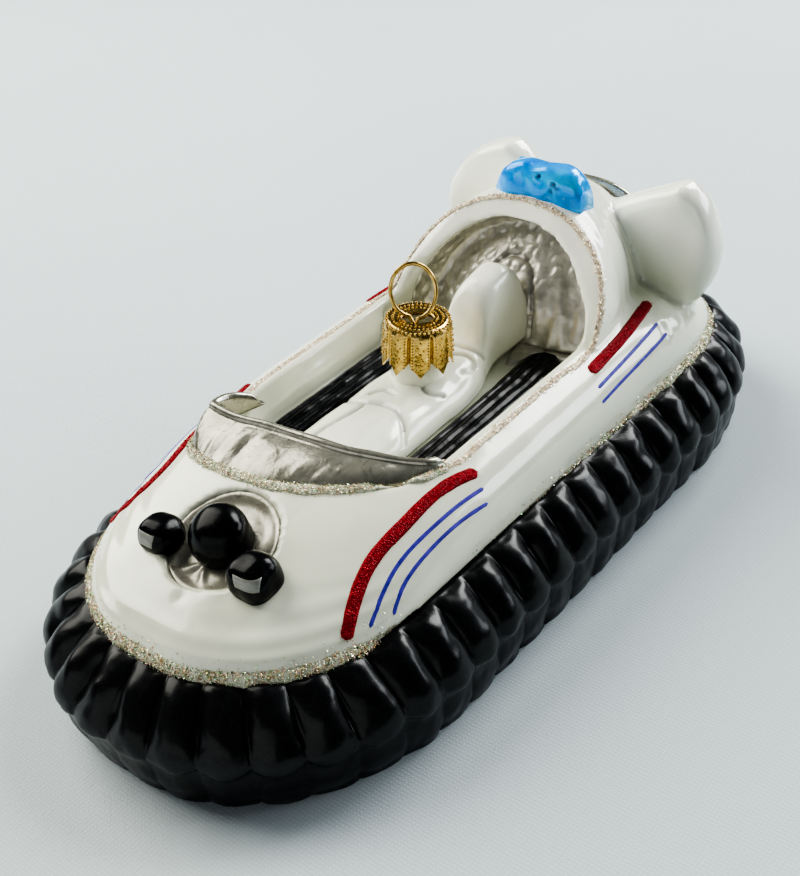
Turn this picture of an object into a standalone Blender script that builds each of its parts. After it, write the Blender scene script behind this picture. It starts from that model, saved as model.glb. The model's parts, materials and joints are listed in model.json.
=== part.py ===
# Hovercraft made as a small hanging ornament of blown glass.
# Lengths in the tables are millimetres. X is to port, Y towards the stern, Z up.
import math
import bpy
import bmesh
from mathutils import Vector, Matrix

MM = 0.001
GAP = 0.3
MIDDLE_Y = 3.492
WELD = 0.00001
CENTRE = (0.0, 0.0, 0.0)
SMOOTH_ANGLE = 35.0

# Plan of the seam between hull and skirt, and of the skirt's widest line
SEAM_Z = 15.4
SEAM_PLAN = {
    "half": 24.0,
    "bow": -52.2,
    "bow_start": -25.0,
    "bow_power": 2.21,
    "stern": 60.0,
    "stern_start": 34.0,
    "stern_power": 2.8,
}
WIDE_PLAN = {
    "half": 30.0,
    "bow": -60.2,
    "bow_start": -27.0,
    "bow_power": 2.15,
    "stern": 67.0,
    "stern_start": 34.0,
    "stern_power": 2.3,
}
PLAN_SAMPLES = 2000

# Fingers of the skirt
FINGER_PITCH = 5.84
FIRST_VALLEY_Y = -37.2
SIDE_FINGERS = 13
BOW_FINGERS = 12
STERN_FINGERS = 15
FINGER_STEPS = 5
FINGER_SHARPNESS = 0.65

# Rows of the skirt: share of the way out to the widest line, height, bulge, bulge angle
SKIRT_ROWS = (
    (0.00, SEAM_Z - GAP, 0.00, 0.0),
    (0.18, 14.40, 0.70, 55.0),
    (0.45, 12.50, 1.50, 45.0),
    (0.72, 10.30, 1.70, 28.0),
    (0.90, 8.60, 1.30, 10.0),
    (0.97, 7.35, 0.65, 0.0),
    (0.94, 6.40, 0.10, 0.0),
    (0.88, 3.20, 0.45, 0.0),
    (0.74, 0.00, 0.55, 0.0),
)

# Hull: length station, height of the spine above the seam, squareness of the section
HULL_SPINE = (
    (-52.1, 0.25, 2.22),
    (-51.4, 1.7, 2.23),
    (-50.0, 2.9, 2.23),
    (-47.5, 4.1, 2.15),
    (-44.0, 5.3, 2.05),
    (-40.0, 6.5, 2.00),
    (-36.0, 7.6, 2.00),
    (-32.0, 8.8, 2.10),
    (-28.0, 9.9, 2.25),
    (-24.0, 10.7, 2.50),
    (-18.0, 11.2, 2.95),
    (-8.0, 11.2, 3.40),
    (4.0, 11.2, 3.50),
    (16.0, 11.2, 3.50),
    (26.0, 11.2, 3.50),
    (34.0, 11.0, 3.50),
    (40.0, 10.0, 3.23),
    (45.0, 8.2, 3.00),
    (50.0, 6.2, 2.80),
    (54.0, 4.8, 2.64),
    (57.0, 3.6, 2.52),
    (59.0, 2.4, 2.44),
    (59.9, 0.25, 2.40),
)
HULL_ARC_STEPS = 22

# Hood over the stern of the cockpit: half width, foot height, crown height, foot Y, crown Y
HOOD_HOOPS = (
    (18.6, 24.0, 39.9, 17.0, 32.3),
    (18.2, 22.0, 40.5, 23.0, 35.3),
    (16.6, 20.0, 40.5, 31.0, 38.6),
    (14.6, 18.0, 39.6, 38.0, 41.8),
    (13.2, 17.0, 38.3, 44.0, 44.8),
    (12.6, 17.0, 37.4, 47.6, 47.6),
)
HOOD_POWER = 2.1
HOOD_LEAN = 0.6
HOOP_STEPS = 26
HOOD_FOOT_Z = 16.4

# Niche inside the hood, from the mouth to the back
NICHE_HOOPS = (
    (17.3, 19.0, 37.6, 12.0, 27.0),
    (16.2, 19.0, 36.8, 23.0, 33.6),
    (15.4, 19.0, 36.2, 28.0, 35.6),
)
NICHE_POWER = 2.1
NICHE_LEAN = 1.0

# Cockpit: height, half width, front Y, rear Y
COCKPIT_ROWS = (
    (20.0, 14.6, -20.0, 26.5),
    (22.5, 15.2, -20.6, 26.5),
    (25.0, 16.4, -21.4, 26.5),
    (30.0, 17.2, -22.2, 26.5),
)
COCKPIT_FLOOR_Z = 20.0
COCKPIT_CORNER = 0.3
COCKPIT_STEPS = 40

# Silvered panel at the back of the niche
PANEL_THICK = 1.2
PANEL_SIDE_GAP = 0.5
PANEL_FOOT_RISE = 2.0

# Seat down the middle: Y, half width, top height
SEAT_ROWS = (
    (-19.0, 7.2, 23.2),
    (-15.0, 7.4, 24.2),
    (-8.0, 7.3, 24.6),
    (0.0, 7.1, 24.5),
    (6.0, 7.0, 24.5),
    (10.5, 6.8, 24.8),
    (13.5, 6.5, 26.8),
    (16.0, 6.2, 29.8),
    (18.5, 6.0, 31.6),
    (21.5, 5.9, 32.8),
    (24.5, 5.8, 33.2),
    (27.0, 5.7, 33.0),
)
SEAT_POWER = 2.6
SEAT_STEPS = 12

# Ribbed black floor beside the seat: Y, inner X, outer X
WELL_ROWS = (
    (-16.5, 8.1, 13.2),
    (-10.0, 8.1, 13.9),
    (5.0, 7.9, 13.9),
    (16.0, 7.4, 13.9),
    (20.0, 7.2, 13.6),
    (22.4, 7.6, 12.2),
)
WELL_FLOOR_Z = COCKPIT_FLOOR_Z + GAP
WELL_THICK = 1.0
WELL_RIBS = 4
WELL_RIB_HEIGHT = 0.4

# Windscreen: foot X, foot Y, rim X, rim Y, rim Z
SCREEN_STATIONS = (
    (-16.2, -13.8, -16.0, -14.6, 26.3),
    (-17.4, -18.5, -16.5, -17.4, 28.0),
    (-17.3, -24.0, -15.6, -20.2, 28.5),
    (-13.2, -27.2, -11.5, -20.9, 28.3),
    (-7.2, -28.1, -6.0, -20.6, 28.3),
    (-1.2, -27.9, 0.0, -20.1, 28.3),
    (4.3, -26.5, 5.6, -19.5, 28.2),
    (9.2, -23.9, 10.2, -18.0, 27.8),
    (14.4, -18.9, 14.3, -15.9, 27.2),
    (16.7, -15.0, 16.5, -14.3, 26.9),
    (17.4, -11.9, 17.2, -12.3, 26.4),
)
SCREEN_THICK = 1.3
SCREEN_MIDDLE = (0.0, -8.0)
SCREEN_ORIGIN = (0.0, -20.0, 26.0)

# Fins beside the hood: outlines in X and Z, port and starboard, and their fore and aft faces
FIN_OUTLINES = {
    "port": (
        (4.0, 19.0),
        (18.5, 19.0),
        (20.2, 20.2),
        (22.4, 23.0),
        (24.0, 26.0),
        (24.8, 29.4),
        (24.8, 32.0),
        (24.0, 35.0),
        (22.6, 38.0),
        (21.0, 39.8),
        (19.2, 40.8),
        (17.0, 40.1),
        (8.0, 36.0),
        (4.0, 33.5),
    ),
    "starboard": (
        (4.0, 19.0),
        (18.5, 19.0),
        (20.6, 20.6),
        (22.6, 23.0),
        (24.2, 26.0),
        (24.8, 29.4),
        (24.1, 32.6),
        (22.5, 35.2),
        (20.0, 38.0),
        (16.8, 40.2),
        (13.2, 41.5),
        (11.0, 41.5),
        (8.0, 39.0),
        (4.0, 33.5),
    ),
}
FIN_MIDDLE_Y = 46.5
FIN_THICK = 6.2
FIN_ROUND = 1.6
FIN_ROUND_STEPS = 2
ROUND_ANGLE = 70.0
FIN_ORIGIN = (14.0, 30.0)

# Light bar on the hood: X, height above its foot, half depth
BAR_ROWS = (
    (-6.7, 0.8, 1.5),
    (-6.0, 2.4, 2.0),
    (-5.1, 3.9, 2.5),
    (-3.8, 4.9, 2.8),
    (-2.0, 5.2, 2.9),
    (0.4, 4.7, 2.8),
    (2.8, 5.2, 2.9),
    (5.6, 4.9, 2.8),
    (7.4, 3.8, 2.4),
    (8.4, 2.2, 1.7),
)
BAR_Y = 35.8
BAR_FOOT_Z = 39.4
BAR_ROOT = 3.5
BAR_STEPS = 12
BAR_CORNER = 0.7

# Nose lights
DISH_Y = -36.4
DISH_Z = 21.9
DISH_RADIUS = 7.4
DISH_TILT = 20.0
DISH_THICK = 1.0
DISH_DEPTH = 0.6
DISH_RIM = 0.7
DISH_SLOPE = 0.9
POCKET_HEIGHT = 9.3
LAMP_RADIUS = 4.0
LAMP_FOOT_RADIUS = 3.85
LAMP_WALL_Z = 1.2
LAMP_HEIGHT = 5.4
LAMP_STEPS = 8
LAMP_ROUND_POWER = 0.8
LAMP_RISE_POWER = 0.9
TURNED_STEPS = 40

# Headlights: side, middle X, middle Y, middle Z, and size along X, Y and Z
HEADLIGHTS = {
    "port": (8.5, -39.6, 22.1, (6.3, 5.8, 6.0)),
    "starboard": (-7.9, -39.6, 21.7, (5.5, 5.1, 5.0)),
}
LIGHT_ROUND = 2.1
LIGHT_ROUND_STEPS = 4
PANE_SIZE = (3.4, 0.4, 1.9)
PANE_RISE = 0.6

# Silvered plate across the stern end of the hood: half width, crown height, squareness
OUTLET_HALF = 13.6
OUTLET_CROWN = 37.3
OUTLET_POWER = 2.7
OUTLET_FRONT_Y = 47.9
OUTLET_REAR_Y = 48.9
OUTLET_CLEAR_Y = (47.3, 52.0)

# Neck, cap and hanger, their heights from the middle of the cap's top along its axis
CAP_Y = 5.192
NECK_RADIUS = 3.7
NECK_FOOT_Z = -11.4
NECK_TOP_Z = -1.0
NECK_BORE = 3.0
NECK_BORE_Z = -7.8
NECK_STEPS = 32
CAP_TOP_Z = 33.4
CAP_AXIS_TILT = (-3.27, 4.1, 0.0)

# Cap's section, crown to leaf tip and back inside: radius, height from its top
CAP_SECTION = (
    (0.0, 0.0),
    (3.9, 0.0),
    (4.5, -0.3),
    (4.8, -1.0),
    (4.95, -3.0),
    (5.05, -5.0),
    (5.25, -7.2),
    (4.85, -7.2),
    (4.65, -5.0),
    (4.5, -3.0),
    (4.1, -0.7),
    (0.0, -0.7),
)
CAP_STEPS = 54
CAP_LEAVES = 9
CAP_FIRST_NOTCH = -27.9
CAP_LEAF_Z = -7.2
CAP_NOTCH_HEIGHT = 2.2
CAP_NOTCH_SPREAD = 18.3
CAP_NOTCH_REACH = (3.0, 7.0)
CAP_SLOT = (2.2, 1.6)
CAP_SLOT_STEPS = 24
CAP_SLOT_REACH = 2.0

# Hanger's ring, an oval turned about the cap's axis and leaning back from it
RING_TURN = 41.0
RING_LEAN = 20.0
RING_HALF = (3.15, 3.8)
RING_MIDDLE = 3.95
RING_OPENING = 10.0
RING_STEPS = 32
RING_SHIFT = (-0.65, -0.6)
STRAND_OFFSET = 0.42
LEG_END_ACROSS = 1.2
LEG_END_Z = -4.9
WIRE_RADIUS = 0.3

COLOURS = {
    "hull": ((0.86, 0.86, 0.84), 0.12, 0.0),
    "skirt": ((0.012, 0.012, 0.014), 0.08, 0.0),
    "seat": ((0.84, 0.84, 0.82), 0.15, 0.0),
    "well_port": ((0.012, 0.012, 0.014), 0.10, 0.0),
    "well_starboard": ((0.012, 0.012, 0.014), 0.10, 0.0),
    "windscreen": ((0.62, 0.60, 0.56), 0.10, 0.9),
    "arch_panel": ((0.50, 0.49, 0.46), 0.15, 0.9),
    "outlet_plate": ((0.50, 0.49, 0.46), 0.15, 0.9),
    "light_bar": ((0.02, 0.36, 0.86), 0.12, 0.4),
    "fin_port": ((0.86, 0.86, 0.84), 0.12, 0.0),
    "fin_starboard": ((0.86, 0.86, 0.84), 0.12, 0.0),
    "nose_dish": ((0.60, 0.58, 0.54), 0.10, 0.9),
    "nose_lamp": ((0.012, 0.012, 0.014), 0.06, 0.0),
    "headlight_port": ((0.012, 0.012, 0.014), 0.06, 0.0),
    "headlight_starboard": ((0.012, 0.012, 0.014), 0.06, 0.0),
    "pane_port": ((0.55, 0.54, 0.50), 0.15, 0.8),
    "pane_starboard": ((0.55, 0.54, 0.50), 0.15, 0.8),
    "neck": ((0.80, 0.80, 0.78), 0.12, 0.0),
    "cap": ((0.83, 0.62, 0.24), 0.25, 1.0),
    "hanger": ((0.83, 0.62, 0.24), 0.25, 1.0),
}


def new_object(name, mesh, origin=CENTRE):
    body = bpy.data.objects.new(name, mesh)
    cutters.objects.link(body)
    body.parent = craft
    body.location = Vector(origin) * MM
    body.hide_render = True
    body.display_type = "WIRE"
    return body


def from_bmesh(name, shape, origin=CENTRE):
    mesh = bpy.data.meshes.new(name)
    bmesh.ops.recalc_face_normals(shape, faces=shape.faces)
    shape.to_mesh(mesh)
    shape.free()
    return new_object(name, mesh, origin)


def loft(name, rings, origin=CENTRE, fan_first=False):
    # Skin over rings of matching points, closed by a face or a fan at each end
    shape = bmesh.new()
    rows = []
    for ring in rings:
        rows.append([shape.verts.new((Vector(p) - Vector(origin)) * MM) for p in ring])
    count = len(rings[0])
    for row, above in zip(rows, rows[1:]):
        for k in range(count):
            n = (k + 1) % count
            shape.faces.new((row[k], row[n], above[n], above[k]))
    if fan_first:
        middle = shape.verts.new(sum((v.co for v in rows[0]), Vector()) / count)
        for k in range(count):
            shape.faces.new((middle, rows[0][(k + 1) % count], rows[0][k]))
    else:
        shape.faces.new(rows[0][::-1])
    shape.faces.new(rows[-1])
    return from_bmesh(name, shape, origin)


def cylinder(name, radius, foot, height, origin=CENTRE, steps=TURNED_STEPS):
    shape = bmesh.new()
    raised = Matrix.Translation((0.0, 0.0, (foot + height / 2.0) * MM))
    bmesh.ops.create_cone(shape, cap_ends=True, segments=steps, radius1=radius * MM, radius2=radius * MM,
                          depth=height * MM, matrix=raised)
    return from_bmesh(name, shape, origin)


def box(name, size, origin):
    shape = bmesh.new()
    bmesh.ops.create_cube(shape, size=MM)
    bmesh.ops.scale(shape, verts=shape.verts, vec=size)
    return from_bmesh(name, shape, origin)


def turned(name, profile, steps, origin=CENTRE):
    # Solid of revolution from a profile of radius and height, axis to axis and top to bottom
    mesh = bpy.data.meshes.new(name)
    points = [(radius * MM, 0.0, height * MM) for radius, height in profile]
    mesh.from_pydata(points, [(k, k + 1) for k in range(len(points) - 1)], [])
    body = new_object(name, mesh, origin)
    screw = body.modifiers.new("turn", "SCREW")
    screw.axis = "Z"
    screw.angle = 2.0 * math.pi
    screw.steps = steps
    screw.render_steps = steps
    screw.use_merge_vertices = True
    screw.merge_threshold = WELD
    return settle(body)


def upright_plate(name, outline, thickness, origin):
    # Plate from an outline of X and Z, its middle plane through the origin
    curve = bpy.data.curves.new(name, "CURVE")
    curve.dimensions = "2D"
    curve.fill_mode = "BOTH"
    curve.extrude = thickness / 2.0 * MM
    line = curve.splines.new("POLY")
    line.points.add(len(outline) - 1)
    for point, (x, z) in zip(line.points, outline):
        point.co = ((x - origin[0]) * MM, (z - origin[2]) * MM, 0.0, 1.0)
    line.use_cyclic_u = True
    body = from_curve(name, curve, origin)
    body.rotation_euler = (math.pi / 2.0, 0.0, 0.0)
    return body


def from_curve(name, curve, origin=CENTRE):
    guide = bpy.data.objects.new(name, curve)
    cutters.objects.link(guide)
    depsgraph = bpy.context.evaluated_depsgraph_get()
    mesh = bpy.data.meshes.new_from_object(guide.evaluated_get(depsgraph))
    bpy.data.objects.remove(guide, do_unlink=True)
    body = new_object(name, mesh, origin)
    clean(body)
    return body


def bevel(body, width, segments, angle):
    step = body.modifiers.new("round", "BEVEL")
    step.width = width * MM
    step.segments = segments
    step.limit_method = "ANGLE"
    step.angle_limit = math.radians(angle)
    return settle(body)


def clean(body):
    shape = bmesh.new()
    shape.from_mesh(body.data)
    bmesh.ops.remove_doubles(shape, verts=shape.verts, dist=WELD)
    bmesh.ops.dissolve_degenerate(shape, edges=shape.edges, dist=WELD)
    shape.to_mesh(body.data)
    shape.free()


def settle(body):
    # Object's modifiers applied and its slivers welded
    depsgraph = bpy.context.evaluated_depsgraph_get()
    mesh = bpy.data.meshes.new_from_object(body.evaluated_get(depsgraph))
    body.modifiers.clear()
    body.data = mesh
    clean(body)
    return body


def on_cap_axis(body):
    body.parent = cap_axis
    body.location = (0.0, 0.0, 0.0)
    return body


def combine(target, tool, operation):
    step = target.modifiers.new("combine", "BOOLEAN")
    step.operation = operation
    step.solver = "EXACT"
    step.object = tool
    return settle(target)


def finish(name, body):
    cutters.objects.unlink(body)
    parts.objects.link(body)
    body.hide_render = False
    body.display_type = "TEXTURED"
    body.name = name
    body.data.name = name
    colour, roughness, metallic = COLOURS[name]
    paint = bpy.data.materials.new(name)
    paint.use_nodes = True
    shader = paint.node_tree.nodes["Principled BSDF"]
    shader.inputs["Base Color"].default_value = (*colour, 1.0)
    shader.inputs["Roughness"].default_value = roughness
    shader.inputs["Metallic"].default_value = metallic
    body.data.materials.clear()
    body.data.materials.append(paint)
    body.data.shade_smooth()
    body.data.set_sharp_from_angle(angle=math.radians(SMOOTH_ANGLE))
    return body


def signed_power(value, power):
    return math.copysign(abs(value) ** power, value)


def plan_half_width(plan, y):
    if y < plan["bow_start"]:
        t = (plan["bow_start"] - y) / (plan["bow_start"] - plan["bow"])
        power = plan["bow_power"]
    elif y > plan["stern_start"]:
        t = (y - plan["stern_start"]) / (plan["stern"] - plan["stern_start"])
        power = plan["stern_power"]
    else:
        return plan["half"]
    t = min(max(t, 0.0), 1.0)
    return plan["half"] * (1.0 - t ** power) ** (1.0 / power)


def plan_end(plan, end, t):
    # Point on the rounded end of a plan, t from 0 on the port side to 1 on the starboard side
    a = math.pi * t
    power = 2.0 / plan[end + "_power"]
    reach = plan[end] - plan[end + "_start"]
    x = plan["half"] * signed_power(math.cos(a), power)
    y = plan[end + "_start"] + reach * abs(math.sin(a)) ** power
    return x, y


def end_points(plan, end, y_first, count):
    # Even steps along the rounded end, from y_first on the port side to y_first on the starboard side
    fine = [plan_end(plan, end, k / PLAN_SAMPLES) for k in range(PLAN_SAMPLES + 1)]
    outward = math.copysign(1.0, plan[end] - plan[end + "_start"])
    inside = [p for p in fine if (p[1] - y_first) * outward >= 0.0]
    run = [0.0]
    for p, q in zip(inside, inside[1:]):
        run.append(run[-1] + math.dist(p, q))
    points = []
    for j in range(count + 1):
        want = run[-1] * j / count
        k = min(range(len(run)), key=lambda i: abs(run[i] - want))
        points.append(inside[k])
    return points


def skirt_stations():
    # Matching points on both plans, and the step's number, clockwise from the bow's port end
    last_valley = FIRST_VALLEY_Y + SIDE_FINGERS * FINGER_PITCH
    side_steps = SIDE_FINGERS * FINGER_STEPS
    bow_steps = BOW_FINGERS * FINGER_STEPS
    stern_steps = STERN_FINGERS * FINGER_STEPS
    bow = zip(end_points(SEAM_PLAN, "bow", FIRST_VALLEY_Y, bow_steps),
              end_points(WIDE_PLAN, "bow", FIRST_VALLEY_Y, bow_steps))
    stern = zip(end_points(SEAM_PLAN, "stern", last_valley, stern_steps),
                end_points(WIDE_PLAN, "stern", last_valley, stern_steps))
    sides = []
    for k in range(side_steps + 1):
        y = FIRST_VALLEY_Y + (last_valley - FIRST_VALLEY_Y) * k / side_steps
        sides.append(((plan_half_width(SEAM_PLAN, y), y), (plan_half_width(WIDE_PLAN, y), y)))
    stations = [(seam, wide, k) for k, (seam, wide) in enumerate(bow)][:-1]
    for k, (seam, wide) in enumerate(sides[:-1]):
        stations.append(((-seam[0], seam[1]), (-wide[0], wide[1]), k))
    for k, (seam, wide) in list(enumerate(stern))[:-1]:
        stations.append(((-seam[0], seam[1]), (-wide[0], wide[1]), k))
    for k, (seam, wide) in enumerate(sides[:0:-1]):
        stations.append((seam, wide, k))
    return stations


def skirt_loft(name):
    rings = []
    stations = skirt_stations()
    for share, height, bulge, angle in SKIRT_ROWS:
        lean = math.radians(angle)
        ring = []
        for seam, wide, k in stations:
            across = (k % FINGER_STEPS) / FINGER_STEPS
            swell = math.sin(math.pi * across) ** FINGER_SHARPNESS * bulge
            out = Vector((wide[0] - seam[0], wide[1] - seam[1])).normalized()
            x = seam[0] + (wide[0] - seam[0]) * share + out.x * swell * math.cos(lean)
            y = seam[1] + (wide[1] - seam[1]) * share + out.y * swell * math.cos(lean)
            ring.append((x, y, height + swell * math.sin(lean)))
        rings.append(ring)
    return loft(name, rings)


def hull_loft(name, grow):
    # Hull's upper body, each section a flat foot under a squarish arch
    rings = []
    for y, rise, power in HULL_SPINE:
        half = plan_half_width(SEAM_PLAN, y) + grow
        ring = []
        for k in range(HULL_ARC_STEPS + 1):
            a = math.pi * k / HULL_ARC_STEPS
            x = half * signed_power(math.cos(a), 2.0 / power)
            z = SEAM_Z - grow + (rise + 2.0 * grow) * abs(math.sin(a)) ** (2.0 / power)
            ring.append((x, y, z))
        rings.append(ring)
    return loft(name, rings, (0.0, 0.0, SEAM_Z))


def hoop(size, power, lean, bottom):
    # Arch on two straight feet: size is half width, foot height, crown height, foot Y, crown Y
    half, foot, crown, foot_y, crown_y = size
    ring = [(half, foot_y, bottom)]
    for k in range(HOOP_STEPS + 1):
        a = math.pi * k / HOOP_STEPS
        rise = max(math.sin(a), 0.0) ** (2.0 / power)
        x = half * signed_power(math.cos(a), 2.0 / power)
        ring.append((x, foot_y + (crown_y - foot_y) * rise ** lean, foot + (crown - foot) * rise))
    ring.append((-half, foot_y, bottom))
    return ring


def hood_loft(name, grow):
    rings = []
    for half, foot, crown, foot_y, crown_y in HOOD_HOOPS:
        size = (half + grow, foot, crown + grow, foot_y, crown_y)
        rings.append(hoop(size, HOOD_POWER, HOOD_LEAN, HOOD_FOOT_Z))
    return loft(name, rings, (0.0, 0.0, HOOD_FOOT_Z), fan_first=True)


def niche_loft(name):
    rings = [hoop(size, NICHE_POWER, NICHE_LEAN, COCKPIT_FLOOR_Z) for size in NICHE_HOOPS]
    return loft(name, rings, (0.0, 0.0, COCKPIT_FLOOR_Z), fan_first=True)


def panel_loft(name):
    # Panel along the niche's back wall, clear of the wall and of the roof
    half, foot, crown, foot_y, crown_y = NICHE_HOOPS[-1]
    rings = []
    for forward in (GAP, GAP + PANEL_THICK):
        size = (half - PANEL_SIDE_GAP, foot + PANEL_FOOT_RISE, crown - PANEL_SIDE_GAP, foot_y - forward,
                crown_y - forward)
        rings.append(hoop(size, NICHE_POWER, NICHE_LEAN, COCKPIT_FLOOR_Z + GAP))
    return loft(name, rings, (0.0, foot_y, COCKPIT_FLOOR_Z))


def cockpit_loft(name):
    rings = []
    for z, half, front, rear in COCKPIT_ROWS:
        ring = []
        for k in range(COCKPIT_STEPS):
            a = 2.0 * math.pi * k / COCKPIT_STEPS
            x = half * signed_power(math.cos(a), COCKPIT_CORNER)
            y = (front + rear) / 2.0 + (rear - front) / 2.0 * signed_power(math.sin(a), COCKPIT_CORNER)
            ring.append((x, y, z))
        rings.append(ring)
    return loft(name, rings, (0.0, 0.0, COCKPIT_FLOOR_Z))


def seat_loft(name, grow):
    rings = []
    base = COCKPIT_FLOOR_Z + GAP - grow
    for y, half, top in SEAT_ROWS:
        ring = []
        for k in range(SEAT_STEPS + 1):
            a = math.pi * k / SEAT_STEPS
            x = (half + grow) * signed_power(math.cos(a), 2.0 / SEAT_POWER)
            z = base + (top + grow - base) * abs(math.sin(a)) ** (2.0 / SEAT_POWER)
            ring.append((x, y, z))
        rings.append(ring)
    return loft(name, rings, (0.0, 0.0, COCKPIT_FLOOR_Z))


def well_loft(name, side):
    rings = []
    top = WELL_FLOOR_Z + WELL_THICK
    for y, inner, outer in WELL_ROWS:
        pitch = (outer - inner) / WELL_RIBS
        ring = [(side * inner, y, WELL_FLOOR_Z), (side * outer, y, WELL_FLOOR_Z)]
        for k in range(WELL_RIBS, 0, -1):
            ring.append((side * (inner + pitch * k), y, top))
            ring.append((side * (inner + pitch * (k - 0.5)), y, top + WELL_RIB_HEIGHT))
        ring.append((side * inner, y, top))
        rings.append(ring)
    middle = (WELL_ROWS[0][1] + WELL_ROWS[0][2]) / 2.0
    return loft(name, rings, (side * middle, 0.0, WELL_FLOOR_Z))


def deck_z(x, y):
    # Height of the hull's rounded deck at a point in plan
    rise, power = HULL_SPINE[-1][1:]
    for (y0, h0, p0), (y1, h1, p1) in zip(HULL_SPINE, HULL_SPINE[1:]):
        if y0 <= y <= y1:
            rise = h0 + (h1 - h0) * (y - y0) / (y1 - y0)
            power = p0 + (p1 - p0) * (y - y0) / (y1 - y0)
    u = min(abs(x) / plan_half_width(SEAM_PLAN, y), 1.0)
    return SEAM_Z + rise * (1.0 - u ** power) ** (1.0 / power)


def screen_loft(name):
    rings = []
    for fx, fy, rx, ry, rz in SCREEN_STATIONS:
        inward = Vector((SCREEN_MIDDLE[0] - fx, SCREEN_MIDDLE[1] - fy)).normalized() * SCREEN_THICK
        ix = fx + inward.x
        iy = fy + inward.y
        rings.append([
            (fx, fy, deck_z(fx, fy) + GAP),
            (rx, ry, rz),
            (rx + inward.x, ry + inward.y, rz),
            (ix, iy, deck_z(ix, iy) + GAP),
        ])
    return loft(name, rings, SCREEN_ORIGIN)


def bar_loft(name):
    rings = []
    for x, height, depth in BAR_ROWS:
        ring = []
        for k in range(BAR_STEPS + 1):
            a = math.pi * k / BAR_STEPS
            y = BAR_Y + depth * signed_power(math.cos(a), BAR_CORNER)
            ring.append((x, y, BAR_FOOT_Z + height * abs(math.sin(a)) ** BAR_CORNER))
        ring.append((x, BAR_Y - depth, BAR_FOOT_Z - BAR_ROOT))
        ring.append((x, BAR_Y + depth, BAR_FOOT_Z - BAR_ROOT))
        rings.append(ring)
    return loft(name, rings, (0.0, BAR_Y, BAR_FOOT_Z))


def outlet_plate(name, grow, front_y, rear_y):
    size = (OUTLET_HALF + grow, HOOD_FOOT_Z, OUTLET_CROWN + grow, 0.0, 0.0)
    outline = [(x, z) for x, y, z in hoop(size, OUTLET_POWER, 1.0, HOOD_FOOT_Z)[1:-1]]
    return upright_plate(name, outline, rear_y - front_y, (0.0, (front_y + rear_y) / 2.0, HOOD_FOOT_Z))


def cap_notches(name):
    # Diamond cutters round the cap's foot, one between each two leaves
    shape = bmesh.new()
    near, far = CAP_NOTCH_REACH
    spread = math.tan(math.radians(CAP_NOTCH_SPREAD))
    leaf_radius = max(radius for radius, height in CAP_SECTION)
    stretch = Matrix.Diagonal((1.0, CAP_NOTCH_HEIGHT / (leaf_radius * spread), 1.0, 1.0))
    outward = Matrix(((0, 0, 1), (1, 0, 0), (0, 1, 0))).to_4x4()
    reach = Matrix.Translation(((near + far) / 2.0 * MM, 0.0, CAP_LEAF_Z * MM))
    for k in range(CAP_LEAVES):
        turn = Matrix.Rotation(math.radians(CAP_FIRST_NOTCH + 360.0 * k / CAP_LEAVES), 4, "Z")
        bmesh.ops.create_cone(shape, cap_ends=True, segments=4, radius1=near * spread * MM,
                              radius2=far * spread * MM, depth=(far - near) * MM,
                              matrix=turn @ reach @ outward @ stretch)
    return from_bmesh(name, shape)


def hanger_wire(name):
    # One wire: a leg, the ring from its foot round to its foot, and the other leg, crossing the first
    lean = math.radians(RING_LEAN)
    path = [(LEG_END_ACROSS, STRAND_OFFSET, LEG_END_Z)]
    for k in range(RING_STEPS + 1):
        a = math.radians(-90.0 - RING_OPENING - (360.0 - 2.0 * RING_OPENING) * k / RING_STEPS)
        along = RING_MIDDLE + RING_HALF[1] * math.sin(a)
        strand = STRAND_OFFSET * (1.0 - 2.0 * k / RING_STEPS)
        across = RING_SHIFT[0] + RING_HALF[0] * math.cos(a)
        back = RING_SHIFT[1] + strand + along * math.sin(lean)
        path.append((across, back, along * math.cos(lean)))
    path.append((-LEG_END_ACROSS, -STRAND_OFFSET, LEG_END_Z))
    wire = bpy.data.curves.new(name, "CURVE")
    wire.dimensions = "3D"
    wire.bevel_depth = WIRE_RADIUS * MM
    wire.bevel_resolution = 2
    wire.use_fill_caps = True
    line = wire.splines.new("POLY")
    line.points.add(len(path) - 1)
    for point, (across, back, z) in zip(line.points, path):
        point.co = (across * MM, back * MM, z * MM, 1.0)
    body = from_curve(name, wire)
    body.rotation_euler = (0.0, 0.0, math.radians(RING_TURN))
    return body


for old in list(bpy.data.objects):
    bpy.data.objects.remove(old, do_unlink=True)

parts = bpy.data.collections.new("hovercraft")
bpy.context.scene.collection.children.link(parts)
cutters = bpy.data.collections.new("cutters")
bpy.context.scene.collection.children.link(cutters)

# Every piece hangs on this empty, whose own origin is the layout's
craft = bpy.data.objects.new("craft", None)
craft.location = (0.0, -MIDDLE_Y * MM, 0.0)
parts.objects.link(craft)

# The axis on which the cap turns and the hanger slides, through the middle of the cap's top
cap_axis = bpy.data.objects.new("cap_axis", None)
cap_axis.parent = craft
cap_axis.location = (0.0, CAP_Y * MM, CAP_TOP_Z * MM)
cap_axis.rotation_euler = [math.radians(angle) for angle in CAP_AXIS_TILT]
parts.objects.link(cap_axis)

# Skirt
finish("skirt", settle(skirt_loft("skirt_raw")))

# Hull with hood, cockpit, niche and the dish's pocket
dish_origin = (0.0, DISH_Y, DISH_Z)
dish_tilt = (math.radians(DISH_TILT), 0.0, 0.0)
hull = combine(hull_loft("hull_raw", 0.0), hood_loft("hood_raw", 0.0), "UNION")
combine(hull, cockpit_loft("cockpit_cutter"), "DIFFERENCE")
combine(hull, niche_loft("niche_cutter"), "DIFFERENCE")
pocket = cylinder("pocket_cutter", DISH_RADIUS + GAP, -DISH_THICK - GAP, POCKET_HEIGHT, dish_origin)
pocket.rotation_euler = dish_tilt
finish("hull", combine(hull, pocket, "DIFFERENCE"))

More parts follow.
